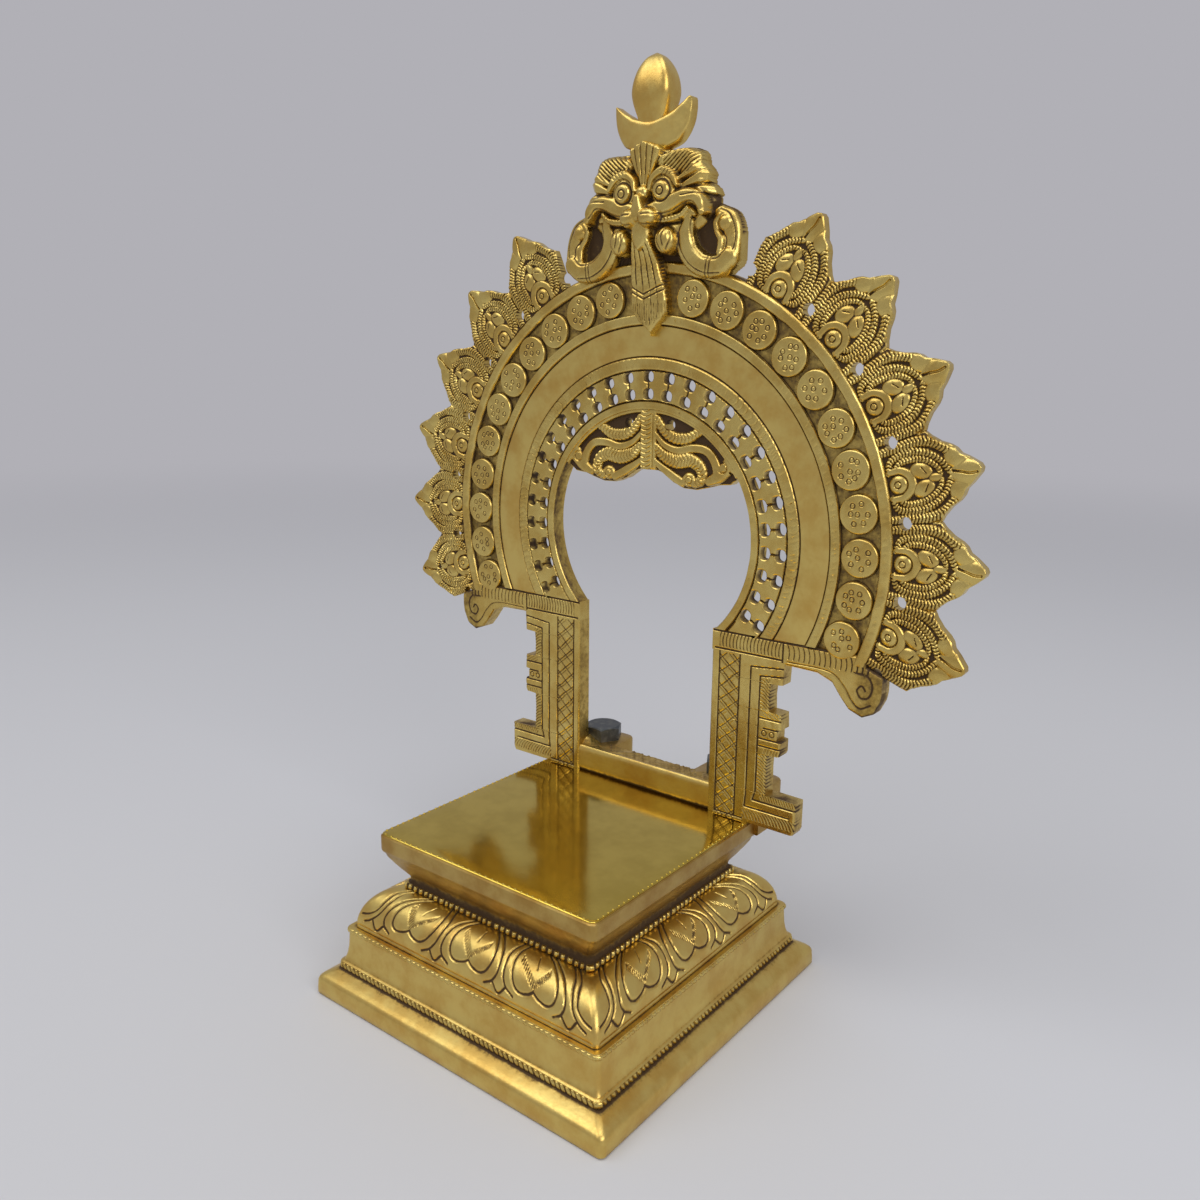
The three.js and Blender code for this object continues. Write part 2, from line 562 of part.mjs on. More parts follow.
const throne = new THREE.Group();
throne.add(part('plinth_casting', plinthCasting(), BRASS));
throne.add(part('lotus_cushion', lotusCushion(), BRASS));
throne.add(part('seat_casting', seatCasting(), POLISHED_BRASS));
throne.add(part('aureole_plate', aureolePlate(), BRASS));
throne.add(part('lion_mask', lionMask(), BRASS));
throne.add(part('crescent_finial', crescentFinial(), BRASS));
['left', 'right', 'lower'].forEach((place, k) => {
  throne.add(part(`mask_rivet_${place}`, maskRivet(RIVET_PLACES[k]), BRASS));
});
for (const [name, side] of [['left', -1], ['right', 1]]) {
  throne.add(part(`hex_bolt_${name}`, hexBolt(side * BOLT_X), STEEL));
  throne.add(part(`hex_nut_${name}`, hexNut(side * BOLT_X), STEEL));
}
screwPlaces().forEach(([x, y], k) => {
  throne.add(part(`tie_screw_${k + 1}`, tieScrew(x, y), STEEL));
});

export default throne;
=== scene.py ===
# %% [markdown]
# A cast brass throne for a small shrine figure, built as a lesson in modelling from formulas.
# The real one is sand cast in a few heavy pieces, chased with punches and gravers, then polished so that the
# raised parts shine and the hollows keep a dark skin. So each surface here is a grid of points worked out by
# a formula, and the same formula says how deep a point lies, which tells the brass where to stay dark.

# %% Load the frame
import math

import bpy
import numpy as np
from mathutils import Matrix


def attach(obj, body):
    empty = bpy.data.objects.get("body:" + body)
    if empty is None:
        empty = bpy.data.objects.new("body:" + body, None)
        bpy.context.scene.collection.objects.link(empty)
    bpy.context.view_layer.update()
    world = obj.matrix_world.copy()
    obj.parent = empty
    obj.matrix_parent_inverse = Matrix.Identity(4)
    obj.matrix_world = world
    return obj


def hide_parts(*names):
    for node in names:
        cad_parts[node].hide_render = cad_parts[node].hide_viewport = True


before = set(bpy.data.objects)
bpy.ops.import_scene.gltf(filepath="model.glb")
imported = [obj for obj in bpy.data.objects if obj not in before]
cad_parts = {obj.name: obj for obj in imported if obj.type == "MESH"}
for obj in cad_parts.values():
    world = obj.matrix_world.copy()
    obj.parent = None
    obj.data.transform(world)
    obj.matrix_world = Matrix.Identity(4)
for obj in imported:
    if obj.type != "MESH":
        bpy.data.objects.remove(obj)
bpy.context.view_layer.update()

scene = bpy.context.scene
print("nodes in the frame:", len(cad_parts))

# %% [markdown]
# The camera comes first, because everything is judged from there. Its place was found by fitting lines of the
# photograph to the sizes of the throne. A camera looks along its own minus Z, so its matrix has the right,
# up and backward directions as columns.

# %% Camera
MM = 0.001
CAMERA_PLACE = (278.72, -337.65, 284.26)
CAMERA_AZIMUTH = 0.664
CAMERA_ELEVATION = 0.232
CAMERA_ROLL = 0.010
FOCAL_PIXELS = 1051.05
PHOTO_PIXELS = 1200
SENSOR = 36.0


def make_camera():
    """Places the camera: right is level, up is square to it, and both then turn by the small roll."""
    azimuth, elevation, roll = CAMERA_AZIMUTH, CAMERA_ELEVATION, CAMERA_ROLL
    level = math.cos(elevation)
    back = np.array([math.sin(azimuth) * level, -math.cos(azimuth) * level, math.sin(elevation)])
    right = np.array([math.cos(azimuth), math.sin(azimuth), 0.0])
    up = np.cross(back, right)
    turned_right = math.cos(roll) * right + math.sin(roll) * up
    turned_up = -math.sin(roll) * right + math.cos(roll) * up
    place = np.array(CAMERA_PLACE) * MM
    matrix = np.eye(4)
    matrix[:3, :4] = np.column_stack([turned_right, turned_up, back, place])
    data = bpy.data.cameras.new("Camera")
    data.sensor_width = SENSOR
    data.lens = SENSOR * FOCAL_PIXELS / PHOTO_PIXELS
    data.clip_start = 0.01
    camera = bpy.data.objects.new("Camera", data)
    camera.matrix_world = Matrix(matrix.tolist())
    scene.collection.objects.link(camera)
    scene.camera = camera
    return camera


print("lens in mm:", round(make_camera().data.lens, 2))

# %% [markdown]
# Materials are node trees. One helper adds a node with its settings, its fixed values and its links, so each
# finish reads as a list of what it is made of. Colours are written as on a colour chart and turned to the
# linear light that the renderer adds up.

# %% Helpers for materials
def linear(code):
    """An sRGB hex colour as linear light: up to 0.04045 divide by 12.92, above it use the 2.4 power."""
    parts = [int(code[k:k + 2], 16) / 255 for k in (1, 3, 5)]
    light = [c / 12.92 if c <= 0.04045 else ((c + 0.055) / 1.055) ** 2.4 for c in parts]
    return (*light, 1.0)


def add(tree, kind, settings=None, inputs=None):
    """Adds one node, sets its properties, and gives each input a value or a link from another node."""
    node = tree.nodes.new(kind)
    for name, value in (settings or {}).items():
        setattr(node, name, value)
    for name, value in (inputs or {}).items():
        if isinstance(value, bpy.types.NodeSocket):
            tree.links.new(value, node.inputs[name])
        else:
            node.inputs[name].default_value = value
    return node


def new_material(name):
    """Makes an empty material and returns it with its tree, its coordinates and its output node."""
    material = bpy.data.materials.new(name)
    material.use_nodes = True
    tree = material.node_tree
    tree.nodes.clear()
    place = add(tree, "ShaderNodeTexCoord").outputs["Object"]
    output = add(tree, "ShaderNodeOutputMaterial")
    return material, tree, place, output


def per_mm(size):
    """The scale of a pattern whose features are this many millimetres across, on coordinates in metres."""
    return 1.0 / (size * MM)


print("middle grey as linear light:", [round(part, 3) for part in linear("#808080")])

# %% [markdown]
# Brass is copper with zinc. Cast and chased brass is satin: the file and the wheel leave the raised parts
# bright, while the sand skin, old polish and tarnish stay brown in every hollow. The dark share comes from
# the "patina" value that each shape stores at its points, broken up by noise so that it looks rubbed rather
# than painted. Patina is an oxide, so where it is thick the surface is rough and reflects little.

# %% Brass finishes
COLOUR_MIX_A = 6
COLOUR_MIX_B = 7
COLOUR_MIX_OUT = 2
DARK_SKIN = "#4A3417"
DARK_SKIN_ROUGH = 0.68
# Each pattern: how many millimetres its features are across, its detail and its roughness. Clouds and specks
# break up the dark skin, grain varies the gloss, waves are what the file left and sand what the mould left.
# Real moulding sand is finer, a quarter of a millimetre or so, and is drawn this coarse so that it shows.
BRASS_PATTERNS = {
    "cloud": (14, 5.0, 0.6), "grain": (1.1, 3.0, 0.55), "speck": (2.6, 4.0, 0.7), "wave": (7, 2.0, 0.5),
    "sand": (0.55, 3.0, 0.5),
}


def mix_colours(tree, share, first, second):
    """Mixes two colours, given as sockets or as fixed colours, by a share."""
    inputs = {0: share, COLOUR_MIX_A: first, COLOUR_MIX_B: second}
    return add(tree, "ShaderNodeMix", {"data_type": "RGBA"}, inputs).outputs[COLOUR_MIX_OUT]


def span(tree, value, low, high, to_low=0.0, to_high=1.0):
    """Stretches a value from one span to another, with soft ends."""
    inputs = {"Value": value, "From Min": low, "From Max": high, "To Min": to_low, "To Max": to_high}
    return add(tree, "ShaderNodeMapRange", {"interpolation_type": "SMOOTHSTEP"}, inputs).outputs[0]


def dark_skin(tree, pattern, tarnish):
    """The stored depth, plus 0.75 of the specks and 0.5 of the clouds about their middle, plus tarnish."""
    depth = add(tree, "ShaderNodeAttribute", {"attribute_name": "patina"}).outputs["Fac"]
    multiply_add = {"operation": "MULTIPLY_ADD"}
    uneven = add(tree, "ShaderNodeMath", multiply_add, {0: pattern["speck"], 1: 0.75, 2: tarnish - 0.375})
    patchy = add(tree, "ShaderNodeMath", multiply_add, {0: pattern["cloud"], 1: 0.5, 2: -0.25})
    wear = add(tree, "ShaderNodeMath", {"operation": "ADD"}, {0: uneven.outputs[0], 1: patchy.outputs[0]})
    return add(tree, "ShaderNodeMath", {"operation": "ADD"}, {0: depth, 1: wear.outputs[0]}).outputs[0]


def brass(name, bright, warm, smooth_rough, dull_rough, sand_depth, tarnish, waviness=0.35):
    """Brass whose gloss, tint and dark skin vary; tarnish is how far the dark skin reaches."""
    material, tree, place, output = new_material(name)
    pattern = {}
    for key, (size, detail, roughness) in BRASS_PATTERNS.items():
        inputs = {"Scale": per_mm(size), "Detail": detail, "Roughness": roughness, "Vector": place}
        pattern[key] = add(tree, "ShaderNodeTexNoise", None, inputs).outputs["Fac"]
    total = dark_skin(tree, pattern, tarnish)
    skin = span(tree, total, 0.32, 0.82)
    stain = span(tree, total, 0.05, 0.5, 0.0, 0.55)
    metal = mix_colours(tree, span(tree, pattern["cloud"], 0.35, 0.68), linear(bright), linear(warm))
    stained = mix_colours(tree, stain, metal, linear(warm))
    colour = mix_colours(tree, skin, stained, linear(DARK_SKIN))
    gloss = span(tree, pattern["grain"], 0.3, 0.75, smooth_rough, dull_rough)
    gloss_or_skin = {0: skin, 2: gloss, 3: DARK_SKIN_ROUGH}
    rough = add(tree, "ShaderNodeMix", {"data_type": "FLOAT"}, gloss_or_skin).outputs[0]
    metallic = span(tree, skin, 0.25, 1.0, 1.0, 0.35)
    waves = {"Strength": waviness, "Distance": 0.35 * MM, "Height": pattern["wave"]}
    wavy = add(tree, "ShaderNodeBump", None, waves).outputs[0]
    sand = {"Strength": sand_depth, "Distance": 0.12 * MM, "Height": pattern["sand"], "Normal": wavy}
    sandy = add(tree, "ShaderNodeBump", None, sand).outputs[0]
    shader = add(tree, "ShaderNodeBsdfPrincipled", None,
                 {"Base Color": colour, "Roughness": rough, "Metallic": metallic, "Normal": sandy})
    tree.links.new(shader.outputs[0], output.inputs[0])
    return material


# Chased work: satin, olive gold on the high parts.
CHASED = brass("chased cast brass", "#DAC172", "#C6A556", 0.21, 0.36, 0.30, -0.03)
# The broad faces of plinth and band went over the wheel, so they are smoother and cleaner.
BUFFED = brass("buffed cast brass", "#DCC170", "#CEA959", 0.28, 0.39, 0.16, -0.1)
# The seat's top is polished, and a faint yellow film softens what it mirrors.
MIRROR = brass("mirror polished brass", "#CFB451", "#C1A645", 0.10, 0.15, 0.02, -0.25, 0.09)
# The filed edges and the back keep the marks of the file and are dull.
FILED = brass("filed brass", "#BFA25E", "#AA8645", 0.30, 0.44, 0.36, -0.04)
print("brass finishes:", [m.name for m in (CHASED, BUFFED, MIRROR, FILED)])

# %% [markdown]
# The bolts are plain steel with a black oxide finish, the grey-black skin of ordinary hardware. It is a
# conversion coat, so the steel's own tool marks show through as a faint satin grain with rubbed, paler edges.

# %% Black oxide steel
def oxide_steel():
    """Dark grey metal, satin, with slightly paler clouds where the oxide is rubbed thin."""
    material, tree, place, output = new_material("black oxide steel")
    # Two patterns, as millimetres across and detail: where the oxide is thin, and the tool marks.
    cloud, grain = (add(tree, "ShaderNodeTexNoise", None,
                        {"Scale": per_mm(size), "Detail": detail, "Vector": place}).outputs["Fac"]
                    for size, detail in ((3, 5.0), (0.4, 2.0)))
    colour = mix_colours(tree, span(tree, cloud, 0.4, 0.75), linear("#565A5C"), linear("#7B7C78"))
    rough = span(tree, cloud, 0.3, 0.7, 0.38, 0.52)
    bump = add(tree, "ShaderNodeBump", None, {"Strength": 0.3, "Distance": 0.1 * MM, "Height": grain})
    shader = add(tree, "ShaderNodeBsdfPrincipled", None,
                 {"Metallic": 0.9, "Base Color": colour, "Roughness": rough, "Normal": bump.outputs[0]})
    tree.links.new(shader.outputs[0], output.inputs[0])
    return material


STEEL = oxide_steel()
print("steel finish:", STEEL.name)

# %% [markdown]
# A mesh is only points and faces, so one function turns worked-out arrays into a finished piece: it scales
# millimetres to metres, stores the patina value, shades it smoothly with sharp edges kept, and tells the
# frame which body carries it. Closed shells get their normals worked out afresh, so that mirrored grids
# still face outwards.

# %% Helpers for pieces
SHARP_ANGLE = 38


def outward(points, faces):
    """Reverses every face if the shell's signed volume, summed over triangles, is negative."""
    centred = points - points.mean(0)
    volume = 0.0
    for group in faces:
        for k in range(1, group.shape[1] - 1):
            first, second, third = centred[group[:, 0]], centred[group[:, k]], centred[group[:, k + 1]]
            volume += np.einsum("ij,ij->", first, np.cross(second, third))
    return faces if volume > 0 else [group[:, ::-1] for group in faces]


def shell(points, faces, patina):
    """One closed shell: points in millimetres, groups of equal-sided faces, and patina values."""
    points = np.asarray(points, float).reshape(-1, 3)
    faces = [np.asarray(group, np.int64) for group in faces]
    values = np.broadcast_to(np.asarray(patina, float).ravel(), (len(points),))
    return points, outward(points, faces), values


def new_piece(name, shells, material=CHASED, body="aureole", replaces=(),
              sharp=SHARP_ANGLE):
    """Makes one mesh object, in metres, from closed shells, and tells the frame which body carries it."""
    starts = np.cumsum([0] + [len(points) for points, _, _ in shells])
    groups = [group + start for (_, faces, _), start in zip(shells, starts) for group in faces]
    corners = np.concatenate([group.ravel() for group in groups])
    counts = np.concatenate([np.full(len(group), group.shape[1]) for group in groups])
    mesh = bpy.data.meshes.new(name)
    mesh.vertices.add(int(starts[-1]))
    mesh.vertices.foreach_set("co", np.concatenate([points for points, _, _ in shells]).ravel() * MM)
    mesh.loops.add(len(corners))
    mesh.loops.foreach_set("vertex_index", corners)
    mesh.polygons.add(len(counts))
    mesh.polygons.foreach_set("loop_start", np.cumsum(counts) - counts)
    mesh.update(calc_edges=True)
    dark = np.concatenate([values for _, _, values in shells]).astype(np.float32)
    mesh.attributes.new("patina", "FLOAT", "POINT").data.foreach_set("value", dark)
    mesh.polygons.foreach_set("use_smooth", np.ones(len(counts), bool))
    mesh.set_sharp_from_angle(angle=math.radians(sharp))
    mesh.materials.append(material)
    piece = bpy.data.objects.new(name, mesh)
    scene.collection.objects.link(piece)
    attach(piece, body)
    if replaces:
        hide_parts(*replaces)
    print(f"{name}: {len(counts)} faces")
    return piece


print("edges that turn by more than this many degrees stay sharp:", SHARP_ANGLE)

# %% [markdown]
# Most surfaces are grids of points whose neighbours are joined by four-cornered faces. Hand work is never
# quite even, so seeded random waves move the points, and numbers that are drawn in a table are read off it
# along straight lines.

# %% Helpers for grids
def quads(rows, columns, wrap_rows=False, wrap_columns=False):
    """The four-cornered faces of a grid numbered row by row; wrapping joins the last line to the first."""
    r = np.arange(rows if wrap_rows else rows - 1)[:, None]
    c = np.arange(columns if wrap_columns else columns - 1)[None, :]
    next_r, next_c = (r + 1) % rows, (c + 1) % columns
    corners = [r * columns + c, r * columns + next_c, next_r * columns + next_c, next_r * columns + c]
    return np.stack([np.broadcast_to(k, (r.size, c.size)) for k in corners], -1).reshape(-1, 4)


WANDER_KNOTS = 400


def wander(run, amount, length, seed):
    """Random heights at knots a length apart, joined by straight lines, for the unevenness of hand work."""
    knots = np.random.default_rng(seed).normal(0, amount, WANDER_KNOTS)
    return np.interp(run, (np.arange(WANDER_KNOTS) - WANDER_KNOTS // 2) * length, knots)


def follow(run, table):
    """Reads a table of (place, value) rows at every place of a run, along straight lines between its rows."""
    places, values = np.transpose(table)
    return np.interp(run, places, values)


def capped_rings(rings, low_end, high_end, patina):
    """A closed shell from level rings of points, with a fan of triangles to an end point below and above."""
    rows, count = rings.shape[:2]
    spin = np.arange(count)
    ahead = (spin + 1) % count
    low = np.stack([ahead, spin, np.full(count, rows * count)], -1)
    top_ring = (rows - 1) * count
    high = np.stack([top_ring + spin, top_ring + ahead, np.full(count, rows * count + 1)], -1)
    points = np.vstack([rings.reshape(-1, 3), low_end, high_end])
    return shell(points, [quads(rows, count, False, True), low, high], patina)


def soft(x):
    """Clamps to 0..1 and eases both ends: 3x squared minus 2x cubed."""
    x = np.clip(x, 0, 1)
    return x * x * (3 - 2 * x)


print("faces of a grid of 3 by 4 points:", len(quads(3, 4)))

# %% [markdown]
# The pedestal is square, so each moulding is a profile carried round a square with small rounded corners. A
# path point has two parts: where the corner's own centre lies, which grows with the profile's half width, and
# which way the surface faces. Keeping them apart lets one path serve every height of the profile.

# %% Square paths
def square_path(corner_steps, side_steps):
    """A walk round a square, anticlockwise from the front left: multipliers, facings and run per side."""
    along = np.concatenate([np.linspace(-1, 1, side_steps), np.ones(corner_steps)])
    rounding = np.concatenate([np.zeros(side_steps), np.linspace(0, 90, corner_steps + 2)[1:-1]])
    on_side = np.arange(side_steps + corner_steps) < side_steps
    run = np.tile(np.where(on_side, along, np.nan), 4)
    side_degrees = np.repeat(np.arange(4) * 90.0, side_steps + corner_steps)
    side_angle = np.radians(side_degrees)
    facing = np.radians(side_degrees + np.tile(rounding, 4))
    across = np.tile(along, 4)
    x = across * np.cos(side_angle) + np.sin(side_angle)
    y = across * np.sin(side_angle) - np.cos(side_angle)
    normal = np.column_stack([np.sin(facing), -np.cos(facing)])
    return np.column_stack([x, y]), normal, run


def carry_round(path, halves, heights, corner, proud=0.0):
    """A profile carried round the square: (half - corner) times multiplier plus corner times facing."""
    multiplier, normal, _ = path
    halves = np.asarray(halves, float)[:, None]
    corner = np.minimum(corner, halves * 0.9)
    reach = corner + proud
    x = (halves - corner) * multiplier[:, 0] + reach * normal[:, 0]
    y = (halves - corner) * multiplier[:, 1] + reach * normal[:, 1]
    z = np.broadcast_to(np.asarray(heights, float)[:, None], x.shape)
    return np.stack([x, y, z], -1)


def square_piece(name, profile, path, corner, material, replaces=(), capped=False):
    """A square moulding: each profile point (half width, height, patina) becomes one walk round the square.
    The profile is closed on itself, or a flat face caps each of its ends."""
    profile = np.asarray(profile, float)
    points = carry_round(path, profile[:, 0], profile[:, 1], corner)
    rows, columns = points.shape[:2]
    faces = [quads(rows, columns, not capped, True)]
    if capped:
        ring = np.arange(columns)
        faces.append(np.stack([ring[::-1], (rows - 1) * columns + ring]))
    patina = np.repeat(profile[:, 2], columns)
    return new_piece(name, [shell(points, faces, patina)], material, "pedestal", replaces)


COARSE_PATH = square_path(6, 24)
print("points in a coarse square path:", len(COARSE_PATH[0]))

# %% [markdown]
# The plinth is a hollow casting: a slab with a rolled edge, a riser that flares at its foot, and a thin lip
# on top. Its profile runs up the outside, over the lip and down the inside, so the walk closes on itself and
# the casting has real walls. The third number of each point is how dark it stays.

# %% Plinth
PLINTH_HALF = 82.5
RISER_FOOT_HALF = 74
RISER_HEAD_HALF = 71.8
PLINTH_TOP = 32.3
WALL = 3.6
PLINTH_CORNER = 2.6

plinth_profile = [
    (PLINTH_HALF - 0.5, 0, 0.5), (PLINTH_HALF, 0.7, 0.15), (PLINTH_HALF, 3, 0),
    (PLINTH_HALF - 0.3, 7.0, 0), (PLINTH_HALF - 0.8, 8.2, 0.02), (PLINTH_HALF - 1.9, 9.2, 0.08),
    (PLINTH_HALF - 3.6, 10.2, 0.2), (PLINTH_HALF - 5.4, 11.1, 0.4), (PLINTH_HALF - 6.6, 11.7, 0.62),
    (PLINTH_HALF - 7.2, 12.0, 0.95), (RISER_FOOT_HALF + 0.7, 12.2, 1.0),
    (RISER_FOOT_HALF + 0.7, 15.2, 0.6), (RISER_FOOT_HALF + 0.9, 15.5, 0.15),
    (RISER_FOOT_HALF + 0.6, 15.9, 0.3), (RISER_FOOT_HALF - 0.2, 16.2, 0.55),
    (RISER_FOOT_HALF - 0.8, 17.4, 0.25), (RISER_FOOT_HALF - 1.4, 19.6, 0.08),
    (RISER_FOOT_HALF - 1.9, 23.0, 0), (RISER_HEAD_HALF + 0.1, 26.5, 0), (RISER_HEAD_HALF, 29.0, 0.05),
    (RISER_HEAD_HALF - 0.1, 29.6, 0.35), (RISER_HEAD_HALF + 0.3, 30.0, 0.3),
    (RISER_HEAD_HALF + 0.4, 31.0, 0.1), (RISER_HEAD_HALF - 0.1, PLINTH_TOP - 0.1, 0.0),
    (RISER_HEAD_HALF - 0.9, PLINTH_TOP, 0.1), (RISER_HEAD_HALF - 2.1, PLINTH_TOP - 0.2, 0.7),
    (RISER_HEAD_HALF - 3.2, PLINTH_TOP - 0.4, 1.0), (RISER_HEAD_HALF - 6, PLINTH_TOP - 0.4, 1.0),
    (RISER_HEAD_HALF - 6, PLINTH_TOP - 5, 0.8), (RISER_HEAD_HALF - WALL, PLINTH_TOP - 6, 0.8),
    (RISER_FOOT_HALF - WALL, 14, 0.8), (PLINTH_HALF - WALL, 7, 0.7), (PLINTH_HALF - WALL, 0.6, 0.6),
    (PLINTH_HALF - WALL + 0.6, 0, 0.5),
]
square_piece("plinth", plinth_profile, COARSE_PATH, PLINTH_CORNER, BUFFED, ["plinth_casting"])

# %% [markdown]
# Rows of small teeth run along each step. On the real casting a punch was driven along the edge, one blow
# beside the next, so the teeth are all alike but never quite even. A row is a half-round strip whose reach
# rises and falls along the run, and a lean shifts the phase with height so that the cuts slant.

# %% Tooth rows
rng = np.random.default_rng(11)
TOOTH_LINES = 7
TOOTH_SAMPLES = 8
TOOTH_BACK = 1.6


def tooth_row(name, half, low, high, pitch, reach, lean, sharpness):
    """A strip of teeth round the square: reach times cosine of the section angle times a power of a sine."""
    teeth = round(2 * (half - PLINTH_CORNER) / pitch)
    path = square_path(4, teeth * TOOTH_SAMPLES + 1)
    run = path[2]
    section = np.radians(np.linspace(-90, 90, TOOTH_LINES))[:, None]
    heights = (low + high) / 2 + (high - low) / 2 * np.sin(section)
    wobble = np.interp(run, np.linspace(-1, 1, teeth), rng.normal(0, 0.09, teeth))
    phase = (run + 1) / 2 * teeth + wobble
    slant = lean * (heights - heights.mean()) / pitch
    wave = np.abs(np.sin(np.pi * (phase + slant)))
    body = np.where(np.isnan(wave), 1.0, np.nan_to_num(wave) ** sharpness)
    proud = reach * np.cos(section) * body - 0.35 * (1 - body)
    front = carry_round(path, np.full(TOOTH_LINES, half), heights[:, 0], PLINTH_CORNER, proud)
    back = carry_round(path, np.full(2, half - TOOTH_BACK), heights[[-1, 0], 0], PLINTH_CORNER)
    points = np.concatenate([front, back])
    front_patina = 1 - soft(body * 1.5 - 0.15) + 0.25 * np.abs(np.sin(section))
    patina = np.concatenate([front_patina, np.ones(back.shape[:2])])
    faces = quads(TOOTH_LINES + 2, points.shape[1], True, True)
    new_piece(name, [shell(points, [faces], patina)], CHASED, "pedestal")


CUSHION_TOP = 50
CUSHION_HEAD_HALF = 53.7
tooth_row("plinth_foot_teeth", RISER_FOOT_HALF + 0.6, 12.4, 15.3, 2.65, 0.8, 0.5, 0.9)
tooth_row("plinth_lip_teeth", RISER_HEAD_HALF + 0.1, 29.9, 31.9, 2.9, 0.7, 0.7, 0.35)
tooth_row("neck_teeth", CUSHION_HEAD_HALF - 0.2, CUSHION_TOP + 0.2, CUSHION_TOP + 2.7, 3.3, 0.9, -0.2, 1.5)

# %% [markdown]
# A chaser draws with a graver: a line cut into metal has a floor, two slopes and a slightly raised burr. To
# draw on a grid of points, each drawn line is first made flowing, then every point looks up how far away the
# nearest stretch of it lies. Distance turns into depth, and the run along the line turns into hatching.

# %% Helpers for drawn lines
def flowing(points, steps=7):
    """A smooth line through the given points: each stretch blends its four neighbours by cubic weights."""
    p = np.asarray(points, float)
    padded = np.vstack([2 * p[0] - p[1], p, 2 * p[-1] - p[-2]])
    t = np.linspace(0, 1, steps, endpoint=False)[:, None]
    stretches = []
    for a, b, c, d in zip(padded[:-3], padded[1:-2], padded[2:-1], padded[3:]):
        curve = 2 * b + (c - a) * t + (2 * a - 5 * b + 4 * c - d) * t ** 2 + (3 * b - a - 3 * c + d) * t ** 3
        stretches.append(curve / 2)
    return np.vstack(stretches + [p[-1:]])


def nearest(u, v, line):
    """For every point: its distance to the line, the run along the line there, and the signed side."""
    best = np.full(u.shape, 1e9)
    along = np.zeros(u.shape)
    side = np.zeros(u.shape)
    start = 0.0
    for (u0, v0), (u1, v1) in zip(line[:-1], line[1:]):
        du, dv = u1 - u0, v1 - v0
        length = math.hypot(du, dv)
        t = np.clip(((u - u0) * du + (v - v0) * dv) / length ** 2, 0, 1)
        gap = np.hypot(u - u0 - t * du, v - v0 - t * dv)
        closer = gap < best
        best = np.where(closer, gap, best)
        along = np.where(closer, start + t * length, along)
        side = np.where(closer, np.sign((u - u0) * dv - (v - v0) * du), side)
        start += length
    return best, along, side


def cut_line(u, v, points, width, flows=True):
    """How deep a graver's line is at every point: 1 on the line, easing to 0 at half its width."""
    line = flowing(points) if flows else np.asarray(points, float)
    return soft(1.25 - nearest(u, v, line)[0] / (width / 2))


def cut_all(u, v, lines, width, flows=True):
    """The deepest of several drawn lines at every point."""
    depth = np.zeros(u.shape)
    for points in lines:
        depth = np.maximum(depth, cut_line(u, v, points, width, flows))
    return depth


def mirrored(lines):
    """The same lines and their mirror images about u = 0."""
    return lines + [[(-u, v) for u, v in line] for line in lines]


print("points of a flowing line through 3 drawn ones:", len(flowing([(0, 0), (1, 1), (2, 0)])))

# %% [markdown]
# The lotus cushion is one quarter of an ellipse carried round the square. Its petals are cut as lines: two
# outlines, a heart-shaped foot, a V of small ticks and one longer tick. They are drawn once, in millimetres
# across the face and degrees up the swell, and set side by side along each face, with half a petal on each
# corner. The lines cut into the surface along its own normal.

# %% Lotus cushion
CUSHION_FOOT_HALF = 69.4
PETAL_SPACING = 38.3
CUT_WIDTH = 1.6
CUT_DEPTH = 0.7
TICK_WIDTH = 0.85
CUSHION_ROWS = 62
CUSHION_CORNER_POINTS = 5
SIDE_POINTS = 320

petal_inner = [(0, 31), (3, 25), (7.5, 22.5), (11, 29), (13, 44), (13, 60), (11, 76), (7.5, 90)]
petal_outer = [(12.4, 15.5), (15, 20), (17.2, 32), (17.6, 50), (16.6, 68), (13.2, 84), (11.6, 90)]
gem = [(-3.9, 20), (0, 8), (3.9, 20)]
wing = [(11, 13), (15.2, 20)]
corner_inner = [(0, 22), (5.2, 27), (8.4, 38), (7.4, 55), (5.0, 72), (4.6, 90)]
corner_outer = [(4.6, 14), (8.2, 20), (11.2, 34), (10.6, 55), (8.6, 72), (8.2, 90)]


def tick_rows(centre):
    """The V of small upright ticks inside a petal, and the longer tick between its arms."""
    share = np.linspace(0.06, 1, 9)
    ticks = []
    for side, top in ((-1, 66), (1, 62)):
        u = centre + side * share * 8.6
        v = 36 + share * (top - 36)
        ticks += [[(a + 0.25, b + 5.0), (a - 0.25, b - 3.5)] for a, b in zip(u, v)]
    return ticks + [[(centre + 1.3, 78), (centre + 0.9, 60)]]


def cushion_drawing():
    """All the lines on one face of the cushion, as (across, degrees up)."""
    lines, tick_lines = [], []
    for centre in (-PETAL_SPACING, 0.0, PETAL_SPACING):
        shapes = mirrored([petal_inner, petal_outer, wing])
        lines += [[(centre + u, v) for u, v in line] for line in shapes]
        tick_lines += tick_rows(centre)
    for middle in (-1.5, -0.5, 0.5, 1.5):
        lines.append([(middle * PETAL_SPACING + u, v) for u, v in gem])
    for side in (-1, 1):
        corner = side * (CUSHION_FOOT_HALF + 1.5)
        lines += [[(corner - side * u, v) for u, v in line] for line in (corner_inner, corner_outer)]
    return lines, tick_lines


print("lines and ticks drawn on one face:", [len(group) for group in cushion_drawing()])

# %% [markdown]
# The drawn lines become a depth and a darkness at every point of one face. The swell is the ellipse with
# that depth taken off along its normal, and four faces with plain rounded corners between them close it.

